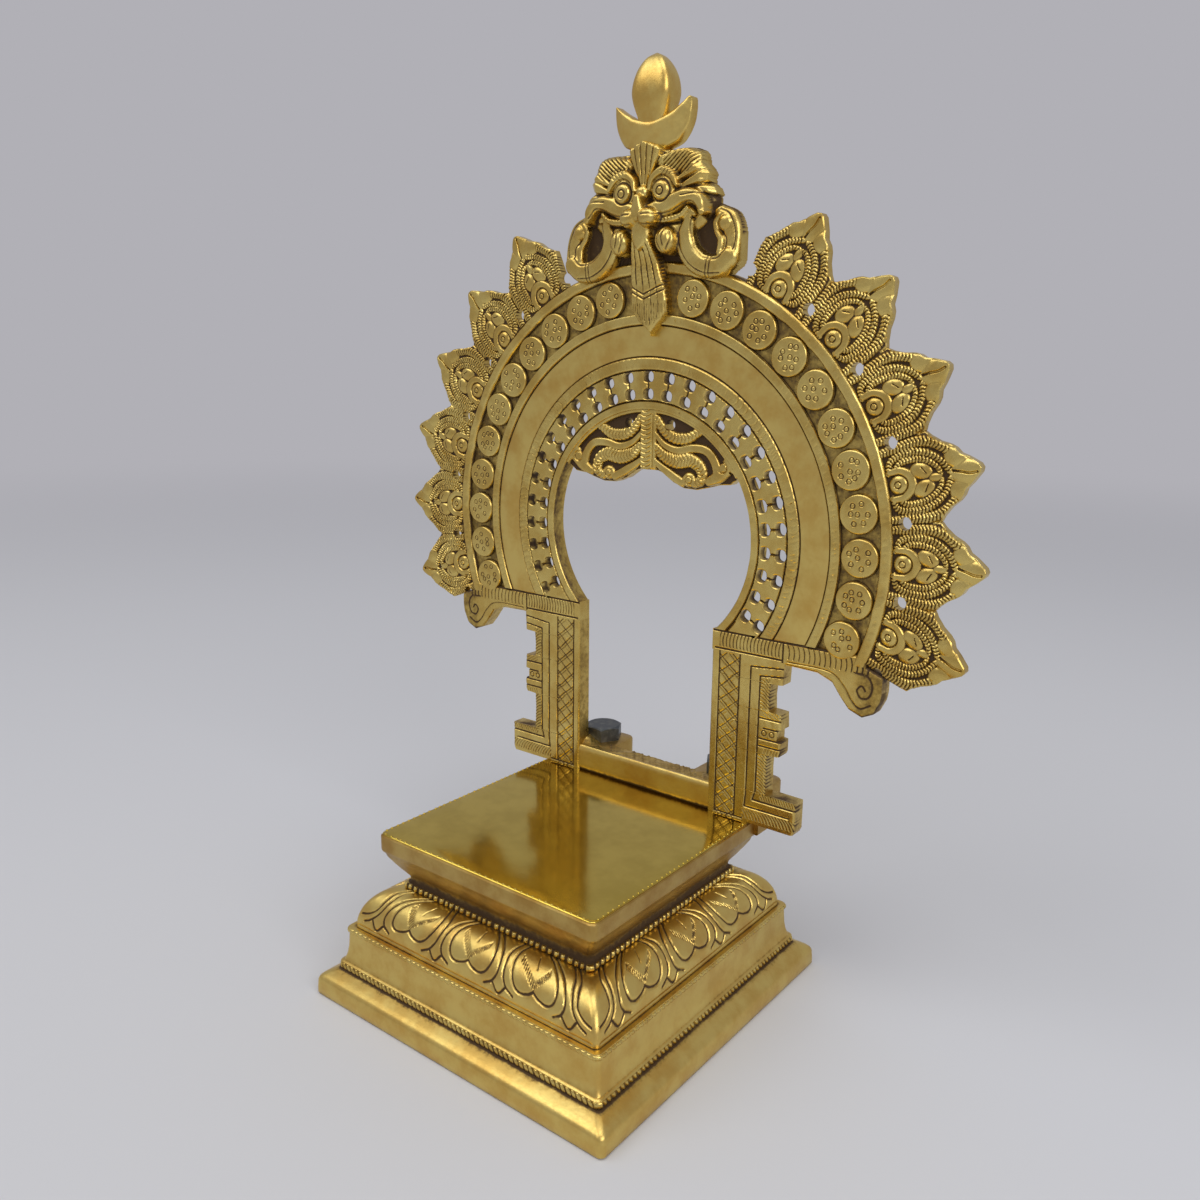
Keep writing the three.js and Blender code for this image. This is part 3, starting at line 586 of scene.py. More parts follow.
# %% Cut the cushion
def cushion_cuts(degrees, per_degree):
    """How deep and how dark one face is cut, for every height in degrees and every place along the face."""
    across = np.linspace(-1, 1, SIDE_POINTS)[None, :] * CUSHION_FOOT_HALF
    u, v = np.broadcast_arrays(across, degrees[:, None] * per_degree)
    lines, tick_lines = ([[(a, b * per_degree) for a, b in line] for line in group]
                         for group in cushion_drawing())
    bold = cut_all(u, v, lines, CUT_WIDTH)
    fine = cut_all(u, v, tick_lines, TICK_WIDTH, False)
    foot = soft(1.2 - np.abs(v - 1.3) / 0.55)
    grime = 0.55 * soft((v - 21.5) / 5)
    return (np.maximum.reduce([bold, 0.5 * fine, 0.5 * foot]),
            np.maximum.reduce([bold, 0.9 * fine, 0.5 * foot, grime]))


def cushion():
    """The swell: half width and height from the ellipse, minus the cuts along the ellipse's normal."""
    path = square_path(CUSHION_CORNER_POINTS, SIDE_POINTS)
    reach, rise = CUSHION_FOOT_HALF - CUSHION_HEAD_HALF, CUSHION_TOP - PLINTH_TOP
    degrees = np.linspace(0, 90, CUSHION_ROWS)
    turn = np.radians(degrees)
    half = CUSHION_HEAD_HALF + reach * np.cos(turn)
    height = PLINTH_TOP + rise * np.sin(turn)
    # Each face takes the same cuts, and the rounded corners between them stay plain.
    one_face = cushion_cuts(degrees, (reach + rise) / 2 * math.pi / 180)
    depth, dark = (np.tile(np.pad(cut, ((0, 0), (0, CUSHION_CORNER_POINTS))), 4) for cut in one_face)
    outside = carry_round(path, half, height, PLINTH_CORNER, -CUT_DEPTH * depth * np.cos(turn)[:, None])
    outside[..., 2] -= CUT_DEPTH * depth * np.sin(turn)[:, None]
    inner_foot = CUSHION_FOOT_HALF - WALL
    inner_halves = [CUSHION_HEAD_HALF - 2, CUSHION_HEAD_HALF - 5.6, inner_foot, inner_foot]
    inner_heights = [CUSHION_TOP, CUSHION_TOP - 1, PLINTH_TOP + 5, PLINTH_TOP]
    points = np.concatenate([outside, carry_round(path, inner_halves, inner_heights, PLINTH_CORNER)])
    patina = np.concatenate([dark, np.full((4, dark.shape[1]), 0.9)])
    return shell(points, [quads(points.shape[0], points.shape[1], True, True)], patina)


new_piece("carved_cushion", [cushion()], BUFFED, "pedestal", replaces=["lotus_cushion"])

# %% [markdown]
# The seat is a slab on a waisted neck, one casting with a hollow under it. Its top is polished to a mirror,
# its rim only filed, and a row of punch marks follows the top edge. Rim and top differ in finish, so they
# are two pieces. The first profile runs from the hollow's ceiling down and round the outside to just under
# the polished top, and a flat face closes each end. The top is a thin plate that is made the same way.

# %% Seat
SEAT_HALF = 60.9
SEAT_EDGE = 69
SEAT_TOP = 77
SEAT_CORNER = 3.0
NECK_HALF = CUSHION_HEAD_HALF - 1.4

neck_profile = [
    (NECK_HALF - 4.2, SEAT_EDGE - 1, 0.9), (NECK_HALF - 4.2, CUSHION_TOP, 0.9),
    (NECK_HALF + 0.9, CUSHION_TOP, 1), (NECK_HALF + 1.0, CUSHION_TOP + 2.4, 1),
    (NECK_HALF, CUSHION_TOP + 3, 0.95), (NECK_HALF - 0.2, CUSHION_TOP + 4.5, 0.8),
    (NECK_HALF, CUSHION_TOP + 6, 0.62), (NECK_HALF + 1.0, CUSHION_TOP + 7.4, 0.45),
    (NECK_HALF + 2.7, CUSHION_TOP + 9.6, 0.34), (NECK_HALF + 4.8, CUSHION_TOP + 12.6, 0.25),
    (NECK_HALF + 6.8, CUSHION_TOP + 15.8, 0.08), (SEAT_HALF - 1.1, SEAT_EDGE - 1.2, 0.12),
    (SEAT_HALF - 0.3, SEAT_EDGE - 0.4, 0.1), (SEAT_HALF, SEAT_EDGE + 0.5, 0.08), (SEAT_HALF, 73, 0.12),
    (SEAT_HALF - 0.02, SEAT_TOP - 1.3, 0.1), (SEAT_HALF - 0.5, SEAT_TOP - 0.7, 0.2),
    (SEAT_HALF - 2.5, SEAT_TOP - 0.9, 0.3),
]
square_piece("seat_neck_and_rim", neck_profile, COARSE_PATH, SEAT_CORNER, FILED, ["seat_casting"],
             capped=True)
top_profile = [
    (SEAT_HALF - 2.6, SEAT_TOP - 2, 0.2), (SEAT_HALF - 0.65, SEAT_TOP - 0.9, 0.2),
    (SEAT_HALF - 0.6, SEAT_TOP - 0.35, 0.1), (SEAT_HALF - 0.9, SEAT_TOP - 0.06, 0.05),
    (SEAT_HALF - 1.6, SEAT_TOP, 0), (SEAT_HALF - 8, SEAT_TOP, 0), (SEAT_HALF - 30, SEAT_TOP, 0),
]
square_piece("seat_mirror_top", top_profile, COARSE_PATH, SEAT_CORNER, MIRROR, capped=True)

# %% Punch marks along the seat's edge
PUNCH_PITCH = 3.2
PUNCH_INSET = 1.3
PUNCH_BUMP = 0.6
PUNCH_HEIGHT = 0.8 * PUNCH_BUMP


def punch_bumps():
    """The burr beside every punch mark: a low dome, set in a row near the four top edges."""
    rise = np.radians([-50, 0, 30, 60])[:, None]
    turn = np.linspace(0, 2 * np.pi, 8, endpoint=False)[None, :]
    dome_rings = np.stack([PUNCH_BUMP * np.cos(rise) * np.cos(turn), PUNCH_BUMP * np.cos(rise) * np.sin(turn),
                           np.broadcast_to(PUNCH_HEIGHT * np.sin(rise), (4, 8))], -1)
    row = SEAT_HALF - PUNCH_INSET
    bumps = []
    for along in np.arange(-SEAT_HALF + 4, SEAT_HALF - 3, PUNCH_PITCH):
        front, right, back, left = along + wander(along + np.array([0, 50, 90, 140]), 0.25, 1.7, 27)
        for x, y in ((front, -row), (row, right), (back, row), (-row, left)):
            middle = np.array([x, y, SEAT_TOP - 0.08])
            foot, head = middle - [0, 0, PUNCH_BUMP], middle + [0, 0, PUNCH_HEIGHT]
            bumps.append(capped_rings(dome_rings + middle, foot, head, 0.0))
    return bumps


new_piece("seat_punch_marks", punch_bumps(), MIRROR, "pedestal")
print("seat half width in mm:", SEAT_HALF)

# %% [markdown]
# The aureole is a flat pierced casting, carved on its front only. Each zone of it is a slab: a grid of front
# points whose depth comes from a height formula, walls at the edges and a flat back. A slab is closed by
# adding two back points to every line across it, so that each line becomes a loop, and one face at each end.

# %% Helpers for slabs
FRONT_Y = 51.4
PLATE_BACK_Y = 59.2
GROUND_Y = 53.4
OUTER_BACK_Y = 56.2
RING_CENTRE_Z = 203.5
BRACKET_TOP = 164.5
BACK_PATINA = 0.42


def slab(x, y, z, patina, back_y=PLATE_BACK_Y):
    """A closed slab from front grids: rows run across it, columns are the stations along it."""
    columns = x.shape[1]
    back = np.stack([x[[-1, 0]], np.full((2, columns), back_y), z[[-1, 0]]], -1)
    points = np.concatenate([np.stack([x, y, z], -1), back])
    rows = points.shape[0]
    loop = np.arange(rows) * columns
    shade = np.concatenate([patina, np.full((2, columns), BACK_PATINA)])
    ends = np.stack([loop[::-1], loop + columns - 1])
    return shell(points, [quads(rows, columns, True, False), ends], shade)


def mound(distance, half, height, fullness=4):
    """The section of a raised strap: height at its middle, falling round to 0 at its half width."""
    return height * np.clip(1 - (np.abs(distance) / half) ** fullness, 0, 1) ** 0.55


def comb(phase, width=0.2):
    """A row of cuts, one for each whole step of the phase: 1 in a cut, 0 between, with bell-shaped slopes."""
    return np.exp(-((phase - np.round(phase)) / width) ** 2)


def blurred(height, cells):
    """The mean of the height over a square of cells around each point, by running sums both ways."""
    for axis in (0, 1):
        padding = [(0, 0), (0, 0)]
        padding[axis] = (cells + 1, cells)
        running = np.cumsum(np.pad(height, padding, mode="edge"), axis)
        ahead = np.take(running, np.arange(2 * cells + 1, running.shape[axis]), axis)
        behind = np.take(running, np.arange(running.shape[axis] - 2 * cells - 1), axis)
        height = (ahead - behind) / (2 * cells + 1)
    return height


def hollows(height, cells, depth):
    """How far each point lies below its surroundings, as a share of the given depth."""
    return np.clip((blurred(height, cells) - height) / depth, 0, 1)


print("thickness of the aureole at its rings in mm:", round(PLATE_BACK_Y - FRONT_Y, 1))

# %% [markdown]
# The rings all share one centre and all end at the level line over the brackets, so a ring of small radius
# runs further round than a wide one: its end angle is where its own circle meets that line. A ring is a short
# section carried round; cuts across it are made by a phase that counts millimetres along the run.

# %% Helpers for rings
OPENING_RADIUS = 55.5
RIM_RADIUS = 59.5
LATTICE_RADIUS = 73
RIDGE_RADIUS = 78.7
BAND_RADIUS = 92.5
CHANNEL_RADIUS = 97.3
CHANNEL_OUTER_RADIUS = 113.8
RIDGE_OUTER_RADIUS = 119.3


def ring(inner, outer, relief, step, lines, back_y=PLATE_BACK_Y, low=BRACKET_TOP, only_end=0, start=0.0):
    """A ring slab; relief gives y and patina from the share across, the run along in mm and the radius.
    With only_end at -1 or 1 just the stretch from a start angle to that end is made."""
    middle = (inner + outer) / 2
    share = np.linspace(0, 1, lines)[:, None]
    radius = inner + (outer - inner) * share
    end = np.arccos((low - RING_CENTRE_Z) / radius)
    begin = -end if only_end == 0 else np.full_like(end, start)
    stations = int((end - begin).mean() * middle / step)
    angle = begin + (end - begin) * np.linspace(0, 1, stations)[None, :]
    angle = angle * (only_end or 1)
    radius = np.broadcast_to(radius, angle.shape)
    y, patina = relief(np.broadcast_to(share, angle.shape), angle * middle, radius)
    return slab(radius * np.sin(angle), y, RING_CENTRE_Z + radius * np.cos(angle), patina, back_y)


def rounded_strip(share, top, drop, fullness=4):
    """The section of a strip with rounded edges: y at the top, further back by the drop at both edges."""
    return top + drop * np.abs(2 * share - 1) ** fullness


def ticks(share, run, pitch, reach, lean, seed):
    """Punch ticks down the middle of a strip: uneven in place and in strength, 1 where struck fully."""
    phase = (run + lean * (share - 0.5) + wander(run, 0.18 * pitch, 1.4 * pitch, seed)) / pitch
    strength = np.clip(0.55 + wander(np.round(phase) * pitch, 0.5, pitch, seed + 1), 0, 1)
    return comb(phase, 0.11) * soft((reach - np.abs(share - 0.5)) / 0.14) * strength


print("opening and outer ridge, radius in mm:", OPENING_RADIUS, RIDGE_OUTER_RADIUS)

# %% [markdown]
# Every ring has its own section: how far back the surface lies and how dark it is, from the share across
# the ring and the run along it. Grime collects at the edges and in every cut.

# %% Plain and hatched rings
def rim_relief(share, run, radius):
    """The plain rim of the opening, with scattered pits."""
    dent = ticks(share, run, 2.9, 0.2, 1.0, 31)
    y = rounded_strip(share, FRONT_Y, 0.8, 9) + wander(run, 0.07, 4, 3) + 0.26 * dent
    return y, np.clip(0.04 + 0.7 * np.abs(2 * share - 1) ** 12 + 0.55 * dent, 0, 1)


def hatched_relief(share, run, radius):
    """The ridge outside the lattice: shallow bows struck across it one beside the next, and a few ticks."""
    edge = np.abs(2 * share - 1)
    phase = (run + 1.4 * (2 * share - 1) ** 2 + wander(run, 0.3, 4, 5)) / 3.1
    bow = np.clip(comb(phase, 0.1) * (0.5 + wander(run, 0.4, 7, 6)), 0, 1)
    dent = ticks(share, run, 2.4, 0.3, 1.8, 33)
    y = rounded_strip(share, FRONT_Y + 0.2, 0.9, 9) + 0.3 * bow + 0.24 * dent
    return y, np.clip(0.04 + 0.9 * edge ** 10 + 0.42 * bow + 0.4 * dent, 0, 1)


def band_relief(share, run, radius):
    """The plain band: a shallow swell between two dark grooves, with grime caught beside them."""
    edge = np.abs(2 * share - 1)
    groove = soft((edge - 0.94) / 0.06)
    grime = 0.42 * soft((edge - 0.72) / 0.25) * np.clip(0.6 + wander(run * 1.3 + radius, 0.5, 2.2, 35), 0, 1)
    return 52.0 + 0.4 * edge ** 2 + 0.5 * groove, np.clip(0.02 + 0.9 * groove + grime, 0, 1)


def tick_relief(share, run, radius):
    """The ridge inside the channel: short slanting ticks down its middle."""
    edge = np.abs(2 * share - 1)
    dent = ticks(share, run, 2.7, 0.24, 1.6, 37)
    y = rounded_strip(share, FRONT_Y, 1.1, 8) + 0.28 * dent + wander(run, 0.05, 5, 39)
    return y, np.clip(0.03 + 0.9 * edge ** 14 + 0.5 * dent, 0, 1)


def channel_relief(share, run, radius):
    """The sunk floor behind the discs, rough as it left the sand."""
    rough = wander(run * 2.3 + radius * 5, 0.16, 1.7, 9) + wander(run - radius * 3, 0.12, 1.1, 13)
    return GROUND_Y + rough, np.full(share.shape, 0.62)


def outer_relief(share, run, radius):
    """The outer ridge: plain and full, with sparse slanting ticks."""
    edge = np.abs(2 * share - 1)
    dent = ticks(share, run, 3.2, 0.22, 1.8, 41)
    worn = wander(run + 6 * share, 0.16, 3.5, 17)
    y = rounded_strip(share, FRONT_Y - 0.3, 1.7, 5) + worn + 0.3 * dent
    return y, np.clip(0.04 + 0.9 * edge ** 7 + 0.5 * dent + worn * edge, 0, 1)


rings = [
    ring(OPENING_RADIUS, RIM_RADIUS, rim_relief, 0.9, 10),
    ring(LATTICE_RADIUS, RIDGE_RADIUS, hatched_relief, 0.34, 15),
    ring(CHANNEL_RADIUS - 4.8, CHANNEL_RADIUS, tick_relief, 0.34, 12),
    ring(CHANNEL_RADIUS, CHANNEL_OUTER_RADIUS, channel_relief, 1.0, 18),
    ring(CHANNEL_OUTER_RADIUS, RIDGE_OUTER_RADIUS, outer_relief, 0.6, 12, PLATE_BACK_Y - 0.05, 160.2),
]
new_piece("aureole_rings", rings, replaces=["aureole_plate"])
new_piece("aureole_plain_band", [ring(RIDGE_RADIUS, BAND_RADIUS, band_relief, 1.0, 28)], BUFFED)

# %% [markdown]
# The lattice ring is drilled in pairs, and the metal left between the pairs reads as a row of small crosses.
# Each hole gets its own patch: points spread from the patch's border to the edge of the hole, down its wall
# and back along the rear, so every patch is a closed ring and no hole has to be cut.

# %% Pierced lattice
LATTICE_STEP = 9.2
PAIRS_A_SIDE = 13
LATTICE_RINGS = (62.6, 70.2)
HOLE_HALF_ALONG = 2.85
HOLE_HALF_ACROSS = 2.5
HOLE_SQUARENESS = 2.7
LATTICE_BACK_Y = 56.2
LATTICE_MIDDLE = 66.5
CELL_SIDE_POINTS = 12
CELL_LAYERS = 9


def lattice_depth(radius, offset, to_hole):
    """How far the lattice lies behind its top: hole edges, border grooves, and the cut between a pair."""
    hole_edge = 0.35 * (1 - soft(to_hole / 0.5))
    low_border = soft((RIM_RADIUS + 0.6 - radius) / 0.5)
    high_border = soft((radius - LATTICE_RADIUS + 0.6) / 0.5)
    border = 1.2 * np.maximum(low_border, high_border)
    cut = 1.0 * soft(1.3 - np.abs(offset) / 0.34) * soft((4.4 - np.abs(radius - LATTICE_MIDDLE)) / 0.8)
    return np.maximum.reduce([hole_edge, border, cut])


def lattice_cell(middle_angle, ring_radius, inner, outer):
    """One closed patch around one hole, in arc millimetres from the hole's own angle and in radius."""
    side = np.linspace(-1, 1, CELL_SIDE_POINTS, endpoint=False)
    ones = np.ones_like(side)
    square = np.vstack([np.column_stack([side, -ones]), np.column_stack([ones, side]),
                        np.column_stack([-side, ones]), np.column_stack([-ones, -side])])
    half_angle = math.radians(LATTICE_STEP / 2)
    border_radius = (inner + outer) / 2 + square[:, 1] * (outer - inner) / 2
    border_offset = square[:, 0] * half_angle * border_radius
    gap_radius, gap_offset = border_radius - ring_radius, border_offset
    reach = np.hypot(gap_radius, gap_offset)
    along = np.abs(gap_offset / reach / HOLE_HALF_ALONG) ** HOLE_SQUARENESS
    across = np.abs(gap_radius / reach / HOLE_HALF_ACROSS) ** HOLE_SQUARENESS
    hole = (along + across) ** (-1 / HOLE_SQUARENESS)
    share = np.linspace(0, 1, CELL_LAYERS)[:, None] ** 0.8
    distance = reach * (1 - share) + hole * share
    radius = ring_radius + gap_radius / reach * distance
    offset = gap_offset / reach * distance
    angle = middle_angle + offset / radius
    depth = lattice_depth(radius, offset, distance - hole)
    height = RING_CENTRE_Z + radius * np.cos(angle)
    front = np.stack([radius * np.sin(angle), FRONT_Y + 0.2 + depth, height], -1)
    back = front[[-1, 0]].copy()
    back[..., 1] = LATTICE_BACK_Y
    patina = np.concatenate([np.clip(depth / 0.9, 0, 1), np.full((2, len(square)), 0.8)])
    return shell(np.concatenate([front, back]), [quads(CELL_LAYERS + 2, len(square), True, True)], patina)


def lattice_corner(share, run, radius):
    """The solid end of the lattice: level with it, with the same dark border grooves."""
    edge = np.abs(2 * share - 1)
    groove = soft((edge - 0.9) / 0.08)
    return FRONT_Y + 0.2 + 1.1 * groove, np.clip(0.1 + groove, 0, 1)


cells = []
for pair in range(-PAIRS_A_SIDE, PAIRS_A_SIDE + 1):
    pair_angle = math.radians(pair * LATTICE_STEP)
    cells.append(lattice_cell(pair_angle, LATTICE_RINGS[0], RIM_RADIUS, LATTICE_MIDDLE))
    cells.append(lattice_cell(pair_angle, LATTICE_RINGS[1], LATTICE_MIDDLE, LATTICE_RADIUS))
# Below the last pair the lattice is solid down to the bracket.
lattice_end = math.radians(LATTICE_STEP * (PAIRS_A_SIDE + 0.5))
for side in (-1, 1):
    cells.append(ring(RIM_RADIUS, LATTICE_RADIUS, lattice_corner, 0.8, 12, LATTICE_BACK_Y, only_end=side,
                      start=lattice_end))
new_piece("aureole_lattice", cells)

# %% [markdown]
# Twenty-two coins sit in the channel, each struck with seven or eight ring punches. A coin's grid is a square
# of points squeezed into a circle, which keeps the points evenly spaced, so that rings two millimetres wide
# stay crisp. No two coins are struck alike, so the punches are scattered by chance around a middle one.

# %% Discs
FIRST_DISC = 12.2
DISC_STEP = 9.65
DISC_RING = 105.6
DISC_RADIUS = 8.35
DISC_LINES = 57
DISC_TOP_Y = 51.15
PUNCH_RADIUS = 1.0
PUNCH_DEPTH = 0.32
COINS_A_SIDE = 11


def disc(angle_degrees, seed):
    """One coin: the square grid (a, b) goes to the circle by a*sqrt(1 - b*b/2), b*sqrt(1 - a*a/2)."""
    local = np.random.default_rng(seed)
    line = np.linspace(-1, 1, DISC_LINES)
    a, b = np.meshgrid(line, line, indexing="ij")
    radius = DISC_RADIUS * (1 + local.normal(0, 0.012))
    u = a * np.sqrt(1 - b * b / 2) * radius * (1 + local.normal(0, 0.012))
    v = b * np.sqrt(1 - a * a / 2) * radius
    edge = np.hypot(u, v) / radius
    rolled = np.clip(edge, 0, 1) ** 26
    count = int(local.integers(6, 8))
    turns = (np.arange(count) + local.normal(0, 0.12, count)) / count * 2 * np.pi + local.uniform(0, 6)
    reach = local.normal(4.3, 0.45, count)
    centres = np.column_stack([reach * np.cos(turns), reach * np.sin(turns)]).tolist()
    centres.append(local.normal(0, 0.5, 2).tolist())
    ring_cut = np.zeros(u.shape)
    for cu, cv in centres:
        gap = np.hypot(u - cu, v - cv)
        ring_cut = np.maximum(ring_cut, soft(1.25 - np.abs(gap - PUNCH_RADIUS) / 0.36))
    y = DISC_TOP_Y + 1.9 * rolled + 0.1 * edge ** 2 + PUNCH_DEPTH * ring_cut
    angle = math.radians(angle_degrees)
    x = DISC_RING * math.sin(angle) + u * math.cos(angle) + v * math.sin(angle)
    z = RING_CENTRE_Z + DISC_RING * math.cos(angle) - u * math.sin(angle) + v * math.cos(angle)
    patina = np.clip(0.04 + 0.8 * ring_cut + 0.9 * rolled, 0, 1)
    return slab(x, y, z, patina, GROUND_Y + 1.5)


coins = []
for number in range(COINS_A_SIDE):
    for side in (-1, 1):
        coins.append(disc(side * (FIRST_DISC + number * DISC_STEP), 100 + 2 * number + (side > 0)))
new_piece("ring_discs_upper", coins[:COINS_A_SIDE])
new_piece("ring_discs_lower", coins[COINS_A_SIDE:])

# %% [markdown]
# The ornament of the petals, the pendant and the mask is built from raised shapes. Each is a height formula
# over the plane of the drawing: a strap along a flowing line, a rounded boss, or a circle cut into either.

# %% Helpers for raised shapes
def raised_line(u, v, points, half_widths, height, pitch=0.0, bite=0.45, lean=0.5):
    """A raised strap along a flowing line; with a pitch it is hatched by cuts across, leaning like arrows."""
    line = flowing(points)
    distance, along, _ = nearest(u, v, line)
    length = np.hypot(*np.diff(line, axis=0).T).sum()
    half = np.interp(along / length, np.linspace(0, 1, len(half_widths)), half_widths)
    raised = mound(distance, half, height)
    if pitch:
        raised = raised - bite * comb((along + lean * distance) / pitch) * (raised > 0.25 * height)
    return raised


def dome(u, v, centre, radii, height, turn=0.0):
    """A rounded boss: height times the root of one minus the squared distance in units of its radii."""
    du, dv = u - centre[0], v - centre[1]
    a = (du * math.cos(turn) + dv * math.sin(turn)) / radii[0]
    b = (dv * math.cos(turn) - du * math.sin(turn)) / radii[1]
    return height * np.clip(1 - (a * a + b * b) ** 1.4, 0, 1) ** 0.55


def ring_line(u, v, centre, radius, width):
    """A circular cut: 1 on the circle, 0 half a width away from it."""
    return soft(1.25 - np.abs(np.hypot(u - centre[0], v - centre[1]) - radius) / (width / 2))


print("height in mm of a boss of 2 mm, at its middle and edge:", dome(np.array([0, 1]), 0, (0, 0), (1, 1), 2))

# %% [markdown]
# Twelve flame petals crown the rings. A petal is a slab again, from the ridge out to its tip, as wide at each
# radius as the drawn outline. Its ornament is a stack of raised shapes, and at every point the highest shape
# wins, which gives the crisp valleys of chased work: a hatched border, two pairs of hatched crescents, a
# ringed boss under an arch, two buds, a pair of side lobes and a veined tip leaf.

# %% Petals
PETALS_A_SIDE = 6
FIRST_PETAL = 31
PETAL_STEP = 14.6
PETAL_HOLE_RING = 124.5
PETAL_HOLE_RADIUS = 2.6
NOTCH_RADIUS = 138
TIP_RADIUS = 155.97
PETAL_STATIONS = 118
PETAL_LINES = 96
PETAL_FLOOR = 0.4

petal_border = [(13.2, 119), (13.8, 125), (14.5, 130.5), (14.6, 135.2), (13.2, 139.8), (10.6, 143.2),
                (8.6, 145.4)]
outer_crescent = [(4.8, 120.2), (9.0, 121.8), (10.9, 126.4), (11.1, 132.3), (9.5, 137.2), (6.2, 141.2),
                  (2.4, 143.4), (0.9, 144.1)]
inner_crescent = [(5.6, 122.8), (7.9, 125.6), (8.4, 130), (7.7, 134.4), (5.6, 137.9), (3.0, 140.1),
                  (1.0, 140.4)]
petal_arch = [(-5.3, 121), (-5.2, 125.2), (-2.9, 128.2), (0, 129.1), (2.9, 128.2), (5.2, 125.2), (5.3, 121)]
petal_vein = [(-1.4, 145.0), (-0.6, 148.4), (0.4, 151.4), (0.4, 154.2)]
# How wide a petal is, as degrees to each side at every radius.
petal_edge = [(NOTCH_RADIUS, 7.3), (139.4, 6.4), (142.5, 5.1), (146, 4.2), (147.8, 3.5), (149, 2.6),
              (151.5, 1.9), (154.2, 1.0), (155.4, 0.6), (TIP_RADIUS, 0.05)]


def petal_height(u, v):
    """Height above the ground of a petal at (mm across, radius in mm), the highest shape at every point."""
    shapes = []
    for w in (-u, u):
        shapes.append(raised_line(w, v, petal_border, (2.0, 2.4, 2.4, 2.1), 1.7, 1.4, 0.7, 0.4))
        shapes.append(raised_line(w, v, outer_crescent, (1.3, 1.7, 1.8, 1.8, 1.6, 1.3), 1.6, 1.35, 0.7, 0.35))
        inner_halves = (1.2, 1.5, 1.6, 1.5, 1.4, 1.1)
        shapes.append(raised_line(w, v, inner_crescent, inner_halves, 1.65, 1.3, 0.65, 0.35))
        small_bud = dome(w, v, (3.4, 133.2), (3.6, 4.8), 1.9, 0.35)
        shapes.append(small_bud - 0.5 * cut_line(w, v, [(2.2, 135.2), (4.6, 133.8)], 0.7))
        shapes.append(dome(w, v, (6.1, 147.0), (4.3, 4.8), 1.85, 0.55))
    shapes.append(raised_line(u, v, petal_arch, (1.5, 1.8, 1.9, 1.8, 1.5), 1.75))
    boss = dome(u, v, (0, 123.4), (4.0, 4.0), 2.05)
    shapes.append(boss - 0.5 * ring_line(u, v, (0, 123.4), 1.3, 0.7))
    shapes.append(dome(u, v, (0, 138.2), (1.9, 3.0), 1.5))
    leaf = dome(u, v, (0, 151.0), (5.4, 7.6), 2.0)
    shapes.append(leaf - 0.9 * cut_line(u, v, petal_vein, 1.1))
    return np.maximum.reduce(shapes)


def petal(angle_degrees, seed):
    """One petal's slab; the drawing is bent a little by chance so that the twelve differ like hand work."""
    bend = np.random.default_rng(seed).normal(0, 0.35, 4)
    stations = np.linspace(RIDGE_OUTER_RADIUS, TIP_RADIUS, PETAL_STATIONS)
    by_hole = np.linspace(PETAL_HOLE_RING - PETAL_HOLE_RADIUS, PETAL_HOLE_RING + PETAL_HOLE_RADIUS, 21)
    v = np.unique(np.concatenate([stations, by_hole]))
    bite = np.sqrt(np.clip(PETAL_HOLE_RADIUS ** 2 - (v - PETAL_HOLE_RING) ** 2, 0, None))
    half_width = v * np.sin(np.radians(follow(v, petal_edge))) - bite
    u = np.linspace(-1, 1, PETAL_LINES)[:, None] * half_width
    v = np.broadcast_to(v, u.shape)
    drawn_u = u + bend[0] * np.sin(v / 7 + bend[1] * 9) + bend[2]
    drawn_v = v + 0.6 * bend[3] * np.sin(u / 5)
    height = petal_height(drawn_u, drawn_v)
    to_edge = half_width - np.abs(u)
    rounding = np.where(v > NOTCH_RADIUS - 2, 0.4 * (1 - soft(to_edge / 0.7)), 0)
    y = GROUND_Y - np.maximum(height, PETAL_FLOOR) + rounding
    patina = 1 - soft((height - PETAL_FLOOR + 0.1) / 0.8) + 1.25 * hollows(height, 2, 0.35)
    patina = patina + 0.16 * (v < NOTCH_RADIUS + 6)
    patina = np.where(v > NOTCH_RADIUS - 3, patina * soft(to_edge / 1.6), patina)
    level = np.sqrt(v ** 2 - u ** 2)
    angle = math.radians(angle_degrees)
    x = level * math.sin(angle) + u * math.cos(angle)
    z = RING_CENTRE_Z + level * math.cos(angle) - u * math.sin(angle)
    return slab(x, y, z, np.clip(patina, 0, 1), OUTER_BACK_Y)


for side, side_name in ((-1, "left"), (1, "right")):
    first_seed = 60 if side > 0 else 40
    flames = [petal(side * (FIRST_PETAL + k * PETAL_STEP), first_seed + k) for k in range(PETALS_A_SIDE)]
    new_piece(f"{side_name}_petals", flames)

# %% [markdown]
# The legs are two flat pilasters. Their outer edge steps in and out like carved joinery, so the slab's width
# changes with height, and two stations almost at the same height make a level step. The drawing on them is
# graver's work: frame lines, a lattice of crossed lines and a border of small arcs.

# %% Legs
LEG_INNER = 38.5
LEG_OUTER = 68
BULGE_OUTER = 74.7
FOOT_OUTER = 83.5
SEAT_LEVEL = 77.05
LEG_TOP = 155
LEG_LINES = 116
LEG_STEP = 0.34
GRAVER_DEPTH = 0.5

